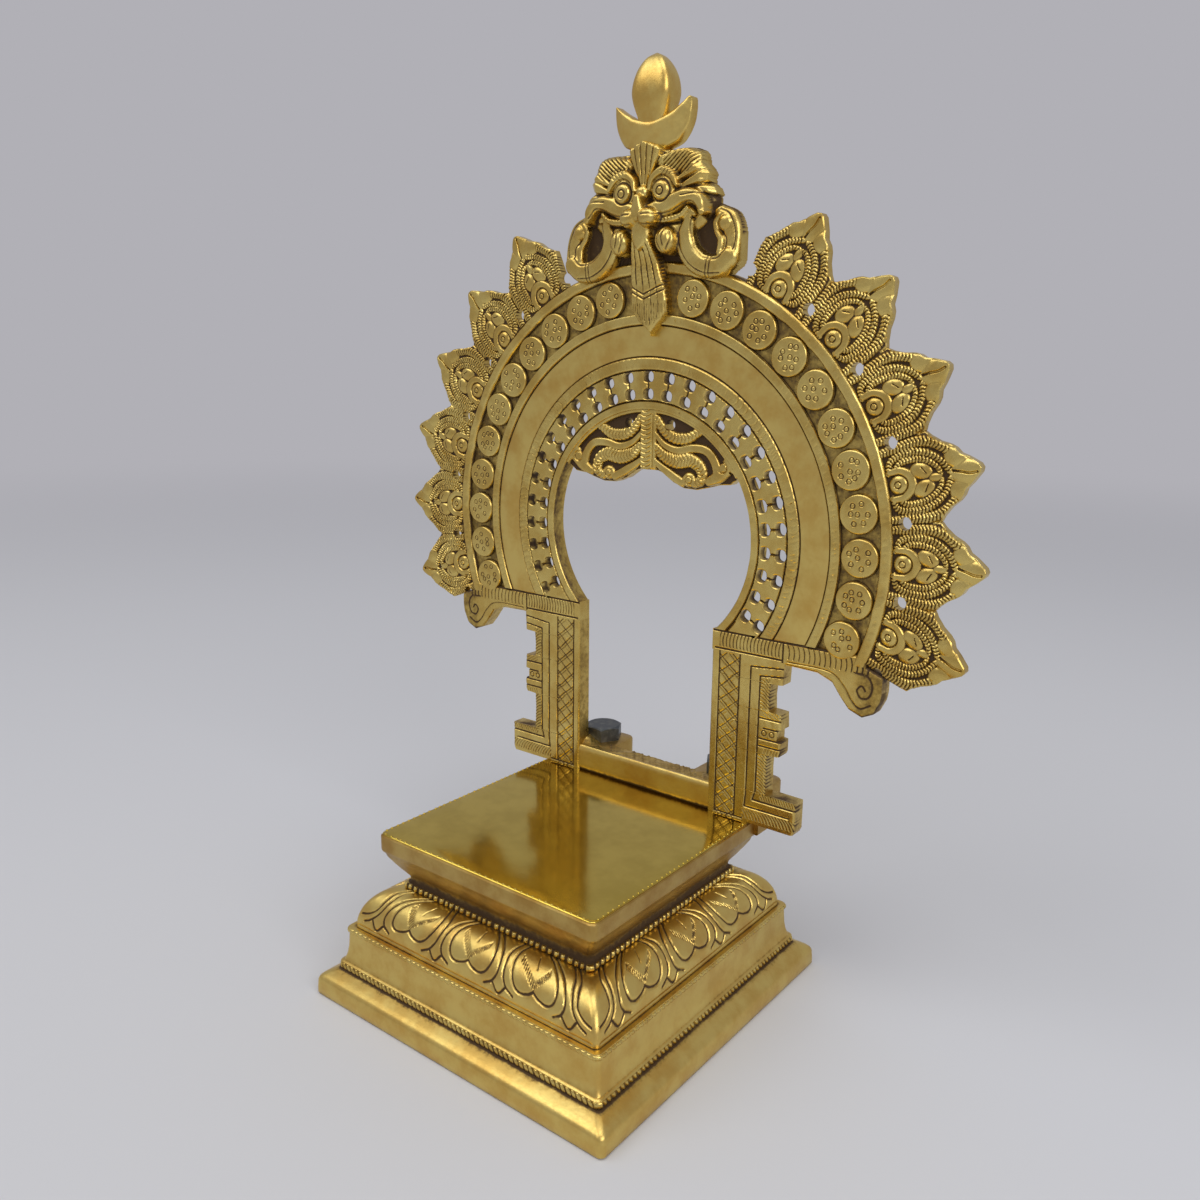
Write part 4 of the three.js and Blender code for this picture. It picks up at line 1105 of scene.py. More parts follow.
# Height and half width, from the foot up.
leg_outline = [
    (SEAT_LEVEL, FOOT_OUTER - 0.8), (79, FOOT_OUTER), (92.2, FOOT_OUTER), (92.5, LEG_OUTER + 0.4),
    (104, LEG_OUTER), (111.4, LEG_OUTER + 0.3), (111.7, BULGE_OUTER - 0.6), (113, BULGE_OUTER),
    (118.7, BULGE_OUTER), (119, BULGE_OUTER - 2), (124, BULGE_OUTER - 2), (124.3, BULGE_OUTER),
    (131.3, BULGE_OUTER - 0.4), (131.6, LEG_OUTER + 0.3), (138, LEG_OUTER), (144.4, LEG_OUTER + 0.5),
    (144.7, BULGE_OUTER - 0.4), (LEG_TOP, BULGE_OUTER),
]
frame_lines = [
    [(42.4, 78), (42.4, LEG_TOP)], [(52.8, 78), (52.8, LEG_TOP)],
    [(80.5, 84.5), (58, 84.5), (58.5, 90), (58.5, 150.5), (74, 152)],
    [(84, 88.6), (62, 88.6), (63.3, 93), (63.3, 147), (74, 148.2)],
    [(63.5, 128), (74, 128)], [(66, 123.5), (74, 123.5)], [(64, 118.5), (75, 118.5)], [(64, 115), (75, 115)],
    [(42.4, 78.2), (57, 78.2)],
]


def leg_cuts(x, z):
    """All graver work on a leg, as depth 0 to 1."""
    lines = cut_all(x, z, frame_lines, 1.0, False)
    inside = (x > 42.6) & (x < 52.5) & (z < LEG_TOP - 0.5)
    rise = (z - 83) / 6.6 + wander(z, 0.03, 5, 51)
    slope = (x - 47.6) / 7.6
    lattice = np.maximum(comb(rise + slope, 0.06), comb(rise - slope, 0.06))
    second = np.maximum(0.8 * comb(rise + slope + 0.26, 0.05), 0.4 * comb(rise - slope + 0.3, 0.045))
    lattice = np.maximum(lattice, second) * inside
    arcs = comb((z + 0.14 * (x - 63.4) ** 2) / 1.6, 0.16)
    strip = (x > 63.9) & (x < 68.3) & (z > 92.8) & ((z < 111.2) | ((z > 132.4) & (z < 146.4)))
    foot_arcs = comb((x + 0.1 * (z - 78) ** 2) / 1.7, 0.16) * (x > 57) * (z < 83.6) * (z > 78.8)
    foot_ticks = comb((x + 0.5 * z) / 1.3, 0.18) * (x > 66) * (z > 89.6) * (z < 92.4)
    bulge_ticks = comb((z + 0.6 * x) / 1.5, 0.16) * (x > 66) * (z > 128.6) * (z < 131.2)
    low_ticks = comb((x - 0.3 * z) / 1.5, 0.16) * (x > 66) * (z > 111.9) * (z < 114.4)
    rings_cut = np.maximum(ring_line(x, z, (66.3, 121.3), 1.2, 0.7), ring_line(x, z, (70.2, 121.3), 1.2, 0.7))
    return np.maximum.reduce([lines, 0.85 * lattice, 0.8 * arcs * strip, 0.7 * foot_arcs, 0.7 * foot_ticks,
                              0.6 * bulge_ticks, 0.6 * low_ticks, 0.8 * rings_cut])


def leg(side):
    """One leg; the left one is drawn as the mirror image of the right one."""
    heights, _ = np.transpose(leg_outline)
    level = np.unique(np.concatenate([np.arange(SEAT_LEVEL, LEG_TOP, LEG_STEP), heights]))
    outer = follow(level, leg_outline)
    x = LEG_INNER + (outer - LEG_INNER) * np.linspace(0, 1, LEG_LINES)[:, None]
    z = np.broadcast_to(level, x.shape)
    cuts = leg_cuts(x, z)
    to_edge = np.minimum(x - LEG_INNER, outer - x)
    rounding = 0.7 * (1 - soft(to_edge / 0.9))
    y = FRONT_Y + 0.15 + GRAVER_DEPTH * cuts + rounding + wander(z + 3 * x, 0.03, 4, 21)
    return slab(side * x, y, z, np.clip(0.12 + 0.95 * cuts + 0.5 * rounding, 0, 1))


print("leg in mm: from", SEAT_LEVEL, "up to", LEG_TOP, "and out to", FOOT_OUTER)

# %% [markdown]
# A bracket is a bar of arcs over each leg that ends in a snout turned down. It is a slab between two drawn
# edges, and the left and right ones come from the same drawing, so one loop makes all four pieces.

# %% Brackets
SNOUT_END = 119.2
BRACKET_LINES = 70
bracket_low = [(LEG_INNER, 155.0), (74, 155.0), (74.6, 154.2), (90, 153.8), (97, 151), (101, 145.5),
               (105, 140.9), (111, 138.6), (116, 141), (118.6, 146.5), (SNOUT_END, 151)]
bracket_high = [(LEG_INNER, BRACKET_TOP), (111.1, BRACKET_TOP), (111.5, 160.3), (SNOUT_END, 157.3)]
bracket_lines = [[(39, 163.9), (103, 163.9)], [(40, 156), (73.7, 156)], [(73.7, 153), (73.7, 163.9)]]
snout_lines = [
    [(76, 155.9), (95, 155.6), (102, 151), (106, 145.4), (110, 142.4), (114.6, 144.6)],
    [(106.6, 157.2), (112.6, 156.6), (115.0, 152.4), (113.6, 147.8), (110.2, 147.0), (108.4, 150.0),
     (110.4, 152.2), (112, 150.4)],
]


def bracket(side):
    """One bracket from the leg to its snout, cut with arcs that change direction half way."""
    across = np.arange(LEG_INNER, SNOUT_END, LEG_STEP)
    low, high = follow(across, bracket_low), follow(across, bracket_high)
    z = low + (high - low) * np.linspace(0, 1, BRACKET_LINES)[:, None]
    x = np.broadcast_to(across, z.shape)
    arch = 0.055 * (z - 159.5) ** 2
    near = comb((x - arch) / 1.75, 0.16) * (x > 42) * (x < 73.2)
    far = comb((x + arch) / 2.4, 0.12) * (x > 75) * (x < 113)
    arcs = np.maximum(near, far) * (z > 157) * (z < 163.4)
    straight = cut_all(x, z, bracket_lines, 1.1, False)
    curved = cut_all(x, z, snout_lines, 0.9)
    stain = 0.5 * soft((x - 103) / 8) * np.clip(0.4 + wander(x * 2.3 + z * 1.7, 0.5, 2.3, 57), 0, 1)
    cuts = np.maximum.reduce([0.85 * arcs, straight, 0.6 * curved])
    rounding = 0.8 * (1 - soft(np.minimum(z - low, high - z) / 1.2)) * (x > 75)
    y = FRONT_Y + 0.1 + GRAVER_DEPTH * cuts + rounding
    patina = np.clip(0.12 + 0.95 * cuts + 0.4 * rounding + stain, 0, 1)
    return slab(side * x, y, z, patina, PLATE_BACK_Y - 0.1)


for side, side_name in ((-1, "left"), (1, "right")):
    new_piece(f"{side_name}_leg", [leg(side)])
    new_piece(f"{side_name}_bracket", [bracket(side)])

# %% [markdown]
# Behind the legs, flat lugs stand on ears of the seat, and a bolt goes down through each pair. A bored plate
# is made like the lattice cells: rays from the bore out to the border give the top, and the same loops carry
# on down the border and back up the bore.

# %% Crossbar, lugs and ears
CROSSBAR_TOP = 90
CROSSBAR_BACK_Y = 62.3
CROSSBAR_COLUMNS = 160
CROSSBAR_LINES = 24
LUG_INNER = 23.5
LUG_OUTER = 63
LUG_BACK_Y = 80.5
LUG_CORNER = 5
BOLT_X = 36.7
BOLT_Y = 69.6
BOLT_BORE_RADIUS = 5.5


def bored_plate(side, low, high, start_y):
    """A plate with rounded rear corners and an upright bore, closed in both directions."""
    quarter = np.radians(np.linspace(0, 90, 9))
    inner_corner, outer_corner = LUG_INNER + LUG_CORNER, LUG_OUTER - LUG_CORNER
    rear = LUG_BACK_Y - LUG_CORNER
    border = [(a, start_y) for a in np.linspace(LUG_INNER, LUG_OUTER, 24)]
    border += [(LUG_OUTER, b) for b in np.linspace(start_y + 1, rear - 1, 10)]
    border += [(outer_corner + LUG_CORNER * math.cos(t), rear + LUG_CORNER * math.sin(t)) for t in quarter]
    border += [(a, LUG_BACK_Y) for a in np.linspace(outer_corner - 1, inner_corner + 1, 20)]
    border += [(inner_corner - LUG_CORNER * math.sin(t), rear + LUG_CORNER * math.cos(t)) for t in quarter]
    border += [(LUG_INNER, b) for b in np.linspace(rear - 1, start_y + 1, 10)]
    border = np.array(border)
    middle = np.array([BOLT_X, BOLT_Y])
    unit = (border - middle) / np.hypot(*(border - middle).T)[:, None]
    bore = middle + unit * BOLT_BORE_RADIUS
    loops = [(border, low + 0.6), (border, high - 0.8), (border - 0.25 * unit, high - 0.25),
             (border - 0.8 * unit, high), (bore, high), (bore, low), (border - 0.6 * unit, low)]
    points = [np.column_stack([side * flat[:, 0], flat[:, 1], np.full(len(flat), z)]) for flat, z in loops]
    return shell(np.stack(points), [quads(len(loops), len(border), True, True)], 0.35)


def crossbar():
    """The plain bar between the legs: a rounded front, a rough top, and a fillet where it meets each leg."""
    end = LEG_INNER + 0.5
    across = np.linspace(-end, end, CROSSBAR_COLUMNS)[None, :]
    share = np.linspace(0, 1, CROSSBAR_LINES)[:, None]
    height = SEAT_LEVEL + (CROSSBAR_TOP - SEAT_LEVEL) * share
    z = np.broadcast_to(height, (CROSSBAR_LINES, CROSSBAR_COLUMNS))
    y = FRONT_Y + 0.5 + 0.9 * np.abs(2 * share - 1) ** 8 + wander(across * 1.7 + z, 0.04, 6, 23)
    depth = np.linspace(0.15, 1, 14)[:, None]
    top_y = y[-1:] + (CROSSBAR_BACK_Y - y[-1:]) * depth
    fillet = 3.2 * np.clip(1 - (end - np.abs(across)) / 10, 0, 1) ** 2 * soft(depth * 1.6)
    rough = wander(across * 1.3 + top_y, 0.14, 1.1, 61) + wander(across - top_y * 1.7, 0.1, 0.8, 62)
    top_z = CROSSBAR_TOP - 0.15 + fillet + rough * soft(depth * 3)
    # The foot of the bar gets a dark line, a painted shadow where it meets the seat, and its rough top is
    # stained all over.
    foot_painted_shadow = np.broadcast_to(np.minimum(0.02 + 1.3 * (1 - share) ** 6, 1), z.shape)
    patina = np.concatenate([foot_painted_shadow, np.clip(0.58 + 0.5 * rough, 0, 1)])
    x = np.broadcast_to(across, patina.shape)
    return slab(x, np.concatenate([y, top_y]), np.concatenate([z, top_z]), patina, CROSSBAR_BACK_Y)


new_piece("crossbar", [crossbar()], BUFFED)
lugs = [bored_plate(side, SEAT_TOP + 0.05, CROSSBAR_TOP, PLATE_BACK_Y - 2) for side in (-1, 1)]
new_piece("aureole_lugs", lugs, FILED)
ears = [bored_plate(side, SEAT_EDGE, SEAT_TOP, SEAT_HALF - 4) for side in (-1, 1)]
new_piece("seat_ears", ears, FILED, "pedestal")

# %% [markdown]
# Under the top of the opening hangs a pendant of scrolls: a ribbed stem, ribbed leaves to both sides, plain
# straps between them and curled ends. Its slab fills the space between the rim's circle and a scalloped
# lower edge. Two round holes go through it, so there the grid's faces are left out: points close to the
# circle are first moved onto it, which keeps the hole's edge round, and walls join front and back.

# %% Helper for pierced slabs
def pierced_slab(x, y, z, patina, kept, back_y):
    """A closed slab of the kept grid cells only: front, flat back, and a wall along every open edge."""
    count = x.size
    number = np.arange(count).reshape(x.shape)
    cells = np.stack([number[:-1, :-1], number[:-1, 1:], number[1:, 1:], number[1:, :-1]], -1)
    front = cells[kept]
    padded = np.pad(kept, 1)
    neighbours = (padded[:-2, 1:-1], padded[1:-1, 2:], padded[2:, 1:-1], padded[1:-1, :-2])
    faces = [front, front[:, ::-1] + count]
    for corner, neighbour in enumerate(neighbours):
        edge = cells[kept & ~neighbour]
        a, b = edge[:, corner], edge[:, (corner + 1) % 4]
        faces.append(np.stack([b, a, a + count, b + count], -1))
    faces = np.concatenate(faces)
    depths = (y, np.full(x.shape, back_y))
    points = np.concatenate([np.stack([x, depth, z], -1).reshape(-1, 3) for depth in depths])
    shade = np.concatenate([patina.ravel(), np.full(count, BACK_PATINA)])
    used, places = np.unique(faces, return_inverse=True)
    return shell(points[used], [places.reshape(faces.shape)], shade[used])


trial_x, trial_z = np.meshgrid(np.arange(4.0), np.arange(4.0))
eight_cells = np.array([[1, 1, 1], [1, 0, 1], [1, 1, 1]], bool)
trial = pierced_slab(trial_x, 0 * trial_x, trial_z, 0 * trial_x, eight_cells, 1.0)
print("faces of a slab of 8 cells round a hole:", len(trial[1][0]))

# %% Lintel pendant
LINTEL_HALF = 47.4
LINTEL_COLUMNS = 281
LINTEL_LINES = 96
LINTEL_HOLE = (11.5, 252.8)
LINTEL_HOLE_RADIUS = 2.4
# The scalloped lower edge, and the lines of the straps, all for the right half.
lintel_low = [(0, 232.3), (4, 232.4), (8, 231), (13, 227.5), (19, 225.2), (26, 225.0), (32, 226.5), (37, 228),
              (43, 228.6), (47, 231.6)]
upper_leaf = [(4.6, 255.4), (8, 250.9), (13.5, 247.6), (20.5, 247.4), (27, 250.6)]
plain_strap = [(4, 248.4), (9, 244.0), (16, 241.9), (24, 243.3), (31, 242.6), (35.5, 238), (37.5, 231.5)]
lower_leaf = [(4.6, 242.6), (9, 239.0), (16, 237.0), (22.6, 238.0), (28, 235.2), (29.2, 230.2), (25.5, 227.8)]
under_strap = [(4, 236.2), (9, 233.0), (14, 230.2), (18.5, 227.8)]
outer_curl = [(33, 229.4), (37, 231.4), (41.5, 235.6), (44, 239.2), (45.4, 236)]
stem_grooves = [[(2.7, 257), (2.7, 232)], [(-4.2, 255), (-4.2, 233)]]


def lintel_height(x, v):
    """Height of the pendant's ornament above its ground; the straps mirror each other about the middle."""
    u = np.abs(x)
    rib = comb((v - 0.12 * (x + 1.2) ** 2) / 2.05, 0.13) * (x < 2.2)
    groove = cut_all(x, v, stem_grooves, 0.9, False)
    shapes = [
        mound(u, 4.7, 2.1, 6) - 0.5 * rib - 0.6 * groove,
        raised_line(u, v, upper_leaf, (2.0, 2.8, 2.9, 2.2), 1.9, 1.9, 0.55),
        raised_line(u, v, plain_strap, (1.2, 1.9, 2.1, 2.2, 2.4), 1.6),
        raised_line(u, v, lower_leaf, (2.2, 3.4, 3.6, 3.0, 2.2), 2.05, 1.75, 0.55),
        raised_line(u, v, under_strap, (1.5, 2.2, 2.3), 1.5),
        dome(u, v, (22.4, 229.4), (3.6, 3.5), 1.95) - 0.5 * ring_line(u, v, (22.4, 229.4), 1.7, 0.8),
        raised_line(u, v, outer_curl, (2.2, 3.3, 3.6, 2.6), 1.8) - 0.6 * ring_line(u, v, (40, 236), 2.2, 0.9),
        mound(np.hypot(u, v - RING_CENTRE_Z) - OPENING_RADIUS, 1.3, 1.7),
    ]
    return np.maximum.reduce(shapes)


def hole_gap(x, z):
    """How far every point is from the middle of the hole on its own side."""
    return np.hypot(np.abs(x) - LINTEL_HOLE[0], z - LINTEL_HOLE[1])


def lintel():
    """The pendant: columns at each x, rows from the scalloped edge up to just inside the rim."""
    across = np.linspace(-LINTEL_HALF, LINTEL_HALF, LINTEL_COLUMNS)
    low = follow(np.abs(across), lintel_low)
    high = RING_CENTRE_Z + np.sqrt((OPENING_RADIUS + 0.2) ** 2 - across ** 2)
    z = low + (high - low) * np.linspace(0, 1, LINTEL_LINES)[:, None]
    x = np.broadcast_to(across, z.shape)
    gap = hole_gap(x, z)
    near = np.abs(gap - LINTEL_HOLE_RADIUS) < 0.24
    pull = np.where(near, LINTEL_HOLE_RADIUS / np.maximum(gap, 0.1), 1)
    x = np.sign(x) * (LINTEL_HOLE[0] + (np.abs(x) - LINTEL_HOLE[0]) * pull)
    z = LINTEL_HOLE[1] + (z - LINTEL_HOLE[1]) * pull
    gap = hole_gap(x, z)
    cell_gap = (gap[:-1, :-1] + gap[1:, 1:] + gap[:-1, 1:] + gap[1:, :-1]) / 4
    height = lintel_height(x, z)
    to_edge = z - low
    y = GROUND_Y + 0.2 - height + 0.8 * (1 - soft(to_edge / 1.2))
    patina = 0.95 * (1 - soft((height - 0.1) / 0.7)) + 0.7 * hollows(height, 4, 0.5)
    patina = np.clip(patina * soft(0.3 + to_edge / 1.6), 0, 1)
    return pierced_slab(x, y, z, patina, cell_gap > LINTEL_HOLE_RADIUS - 0.05, PLATE_BACK_Y - 0.12)


new_piece("lintel_pendant", [lintel()])

# %% [markdown]
# The lion face is the highest relief of all, so it is modelled as one field of heights on a fine square
# grid: a list of domes and straps again, highest shape wins, standing up to 13 mm proud of the rings. Head
# and scrolls are drawn for the right half only, and the left half reads the same drawing mirrored. Cells
# where nothing rises are left out.

# %% Lion's head
MASK_STEP = 0.34
MASK_GROUND = -1.9
MASK_BACK_Y = OUTER_BACK_Y - 0.05
ABSENT = -9.0
CHIN_FOOT = 326.6
CHIN_TOP = 339
HEAD_FOOT = 329
HEAD_TOP = 366.8

# Height and half width of the head, with three soft lobes down each side, and of the chin.
head_outline = [(HEAD_FOOT, 18), (336, 28), (341, 33.4), (345, 34.8), (348, 34.2), (350, 33.2),
                (352, 31.0), (354, 30.2), (356, 31.0), (358, 29.6), (360, 27.6), (362, 27.2),
                (364.6, 26.4), (HEAD_TOP, 23.6)]
chin_outline = [(CHIN_FOOT, 0.4), (328.6, 3.2), (332, 5.1), (336, 5.0), (CHIN_TOP, 3.6)]
# Skull, eye, iris, brow bead, nostril and jaw: middle, radii, height, and the level that the dome stands on.
face_domes = [
    ((0, 348), (32, 19), 3.4, 0.4), ((10.2, 350.4), (6.2, 6.2), 4.4, 4.0),
    ((10.0, 350.2), (4.0, 4.0), 1.3, 7.6), ((0, 349.8), (3.3, 3.3), 3.2, 5.6),
    ((4.7, 339.6), (4.9, 4.3), 5.6, 7.4), ((11.4, 334.2), (9.4, 5.2), 3.2, 1.0),
]
# Three locks of the mane, the lid, the nose and the cheek: line, half widths, height, and the level below.
face_straps = [
    ([(18, 354.6), (23, 357.2), (27, 359.6), (28, 362.6)], (1.1, 1.9, 2.6, 2.2), 3.4, 2.8),
    ([(16.4, 350.8), (21.6, 352.5), (26.8, 354.4), (31, 355.6)], (0.8, 1.9, 2.6, 2.6), 3.2, 2.0),
    ([(19.6, 349.2), (26, 350.2), (33, 349.6)], (0.7, 1.8, 2.6), 2.8, 1.4),
    ([(3.9, 351.0), (5.2, 355.2), (9.8, 357.9), (14.6, 356.2), (17.6, 351.8)],
     (1.0, 1.7, 2.2, 2.0, 1.1), 3.4, 4.8),
    ([(0, 347.4), (0, 344.4), (0, 341.2)], (2.0, 2.9, 3.8), 4.4, 7.6),
    ([(2.6, 342.8), (9, 343.6), (15, 345.4), (20.4, 347.2), (25, 347.0), (28.4, 344.6), (30.2, 340.4)],
     (2.8, 4.1, 4.5, 4.0, 3.4, 3.0, 2.0), 4.6, 3.2),
]
hair_line = [(9.5, 361.6), (15, 361.2), (21, 361.0), (27, 360.4)]
lip_line = [(2.7, 338.9), (11.1, 338.6), (18.4, 339.7), (22, 342.6)]


def lift(raised, base):
    """A shape's height counted from a base level, and far below everything where the shape isn't."""
    return np.where(raised > 0, raised + base, ABSENT)


def head_shapes(u, z):
    """Skull, hair, brow, eyes, nose, cheeks, lips and fangs; u is the distance from the middle."""
    tuft = raised_line(u, z, hair_line, (3.6, 5.6, 5.6, 4.6), 5.2)
    tuft = tuft - 0.8 * comb((z - 0.85 * u) / 1.9, 0.2) * (tuft > 1.2)
    chin = mound(u, follow(z, chin_outline), 3.8, 2.6) * ((z > CHIN_FOOT) & (z < CHIN_TOP))
    head_half = follow(z, head_outline)
    skull = mound(u, head_half, 3.4, 8) * ((z > HEAD_FOOT) & (z < HEAD_TOP))
    shapes = [
        lift(skull, -1.2),
        lift(tuft, 1.0),
        lift(chin, 6.0),
        lift(raised_line(u, z, lip_line, (1.5, 1.7, 1.7, 1.2), 3.0, 1.7, 0.3, 0.8), 3.2),
        lift(dome(u, z, (12.0, 330.2), (5.2, 5.8), 5.4, 0.1), 4.2),
        # A thin floor behind chin and tongue joins the head to the scrolls.
        np.where((u < 26) & (z > 317) & (z < 336), -1.5, ABSENT),
    ]
    shapes += [lift(dome(u, z, middle, radii, height), base) for middle, radii, height, base in face_domes]
    shapes += [lift(raised_line(u, z, line, halves, height), base)
               for line, halves, height, base in face_straps]
    to_side = head_half - u
    head = np.maximum.reduce(shapes) - 3.4 * (1 - soft(0.15 + to_side / 5)) * (z > 341)
    return [np.where((to_side > 0) | (z < 336), head, ABSENT)]


print("head in mm: half width", max(half for _, half in head_outline), "height", HEAD_TOP - HEAD_FOOT)

# %% [markdown]
# On each side of the jaw a broad band runs down, round and up again, with a knob in its end. Its floor is
# rough and low, so the band reads as a scroll. The tongue is a kite that hangs a little to the right of the
# middle: a half width for each height, a level for each height, and flutes that fan out from its root.

# %% Scrolls and tongue
scroll_hook = [(24.4, 340.4), (22.2, 341.2), (21.4, 337), (19.6, 331), (21.8, 324.8), (28, 319.9),
               (36, 319.2), (41.2, 322.4)]
scroll_loop = [(41.4, 322.2), (41.8, 328.0), (41.2, 333.4), (39.0, 337.6), (35.4, 340.2)]
scroll_curl = [(36.6, 324.6), (36.9, 329.4), (34.6, 333.2), (33.8, 336.8), (35.8, 339.4)]
tongue_outline = [(292.4, 0.3), (294.6, 2.8), (297.4, 6.0), (301.2, 9.0), (306, 9.6), (311.5, 9.1),
                  (319, 8.0), (326, 6.4), (331, 4.6)]
tongue_middle = [(292.6, 3.0), (297.4, 1.9), (306, 1.2), (319, 0), (330, 0)]
tongue_level = [(292, 0.8), (296, 1.6), (302, 1.8), (312, 2.0), (321, 3.0), (327, 5.4), (331, 7.0)]
tongue_bars = [[(-9, 312.4), (-2, 308.8), (9, 313.0)], [(-9, 310.2), (-2, 306.8), (9, 310.8)]]


def scroll_shapes(u, z):
    """The scrolls: hook, loop, inner curl and knob over a rough floor that fills them."""
    floor = dome(u, z, (30.6, 332), (11, 13), 0.7)
    rough = wander(u * 2.1 + z * 3.7, 0.22, 1.3, 71) + wander(u * 3 - z * 1.9, 0.2, 1.1, 72)
    loop_base = follow(z, [(320, 0.4), (326, -0.8), (334, -1.8), (340, -2.2)])
    return [
        lift(raised_line(u, z, scroll_hook, (1.6, 3.0, 4.6, 5.0, 5.2, 5.0, 4.9, 4.6), 3.9), 0.6),
        lift(raised_line(u, z, scroll_loop, (4.6, 4.4, 4.5, 4.6, 3.4), 3.9), loop_base),
        lift(raised_line(u, z, scroll_curl, (1.4, 1.7, 1.5, 1.4, 1.2), 3.4), loop_base + 0.9),
        lift(dome(u, z, (38.4, 336.2), (3.9, 3.9), 4.0), -0.8),
        np.where(floor > 0, floor + rough - 1.7, ABSENT),
    ]


def tongue_height(x, z):
    """The grooved tongue: it leaves the chin standing high, spreads, and sinks as it narrows to its tip."""
    half = follow(z, tongue_outline)
    x = x - follow(z, tongue_middle)
    share = x / np.maximum(half, 0.5)
    body = (mound(x, half, 1.8, 5) + 0.9 * (1 - np.abs(share)) * soft((306 - z) / 8)) * (z < 331)
    phase = share * 2.6 + 0.5
    flute = 0.5 * np.abs(np.sin(np.pi * phase)) * soft((z - 312) / 4)
    fan = comb(phase, 0.08) * soft((z - 311.5) / 2)
    low = comb(phase, 0.05) * (z > 296)
    fine = comb(x / 1.25 + 0.25, 0.2) * soft((306 - z) / 1.5) * (z > 297 + 0.3 * np.abs(x))
    bar = cut_all(x, z, tongue_bars, 0.9, False)
    dots = comb((z - 0.3 * x) / 1.7, 0.22) * comb(phase - 0.5, 0.13) * soft((z - 313) / 2)
    cuts = np.maximum.reduce([fan, 0.8 * low, 0.7 * fine, bar, 0.6 * dots])
    carved = np.where(body > 0.5, flute - 0.8 * cuts, 0)
    return lift(body, follow(z, tongue_level)) + carved, cuts * (body > 0.5)


print("tongue in mm: length", round(tongue_outline[-1][0] - tongue_outline[0][0], 1))

# %% [markdown]
# Last come the graver's cuts on the face and the folded leaf between the tufts. Then the field becomes a
# mesh: the cuts are taken off its height, each point moves a little towards the mean of its neighbours, as
# polishing would do, and every point that lies lower than what surrounds it stays dark.

# %% Lion mask
MASK_CUT_DEPTH = 0.65
MASK_HALF = 51
MASK_FOOT = 291
MASK_TOP = 374
face_lines = [
    [(18.4, 339), (17.4, 333), (18.4, 326.6), (23, 320.4), (30, 316.8), (37.6, 316.4)],
    [(23.4, 339), (22.9, 334), (24.6, 327.6), (29.4, 323.2), (36, 322.2), (39.4, 325)],
    [(30.6, 314.8), (31.6, 323.4)], [(32.2, 314.8), (33.2, 323.4)],
    [(43.4, 325.4), (44.0, 330.4), (42.8, 335.2), (40.2, 339.6), (36.2, 341.6)],
    [(39.6, 325), (39.8, 329.6), (37.6, 332.4)],
    [(3, 340.8), (9, 340.9), (15, 341.8), (20, 344.0), (25, 345.0), (28.8, 341.4)],
    [(9.8, 333.4), (9.4, 330.0), (11.0, 326.4)], [(12.4, 334.4), (11.8, 331.4), (12.6, 328.2)],
    [(15.0, 333.4), (15.4, 330.0), (13.6, 326.4)], [(3, 336.9), (10, 336.7), (17.4, 337.6)],
    [(17.2, 349.4), (24, 350.9), (32, 351.4), (35, 352.6)], [(20, 347.6), (28, 348.0), (35, 347.0)],
]
leaf_outline = [(351, 1.0), (353, 1.7), (356, 3.1), (360, 5.4), (364, 7.6), (367, 8.3), (368.6, 6.4),
                (369.6, 3.4), (370.6, 0.3)]


def mask_cuts(x, z, u):
    """Graver work on the face: eye rings, hair lines, a row of lines over one eye, pits and drawn lines."""
    eye = np.maximum(ring_line(u, z, (10.0, 350.2), 4.4, 1.0), ring_line(u, z, (10.0, 350.0), 1.7, 0.9))
    hair = comb((z - 0.85 * u) / 1.9, 0.2) * (u > 9.6) * (u < 31) * (z > 355.6) * (z > 343 + 0.62 * u)
    lashes = comb(x / 1.7, 0.16) * (u > 8) * (u < 18) * (z > 358.2) * (z < 360.8) * (x < 0)
    beside_floor = (np.hypot(u - 28, z - 333) > 14.2) * (u > 17) * (u < 27) * (z < 322)
    pits = comb((u + z) / 1.8, 0.2) * comb((u - z) / 1.8, 0.2) * beside_floor
    drawn = cut_all(u, z, face_lines, 0.9)
    return np.maximum.reduce([0.8 * hair, 0.7 * lashes, eye, 0.6 * pits, 0.8 * drawn])


def fan_height(x, z):
    """The folded leaf between the tufts: bright folds spread from the brow and end in a pointed gable."""
    fold = np.abs(np.sin(np.pi * (np.arctan2(x, z - 343) * 7.6 + 0.5))) ** 0.7
    within = (z > leaf_outline[0][0]) & (z < leaf_outline[-1][0])
    raised = mound(x, follow(z, leaf_outline), 2.0, 4) * within
    return lift(raised, 3.4 + 0.05 * (z - 352)) + np.where(raised > 0.4, 1.1 * fold, 0), 1 - fold


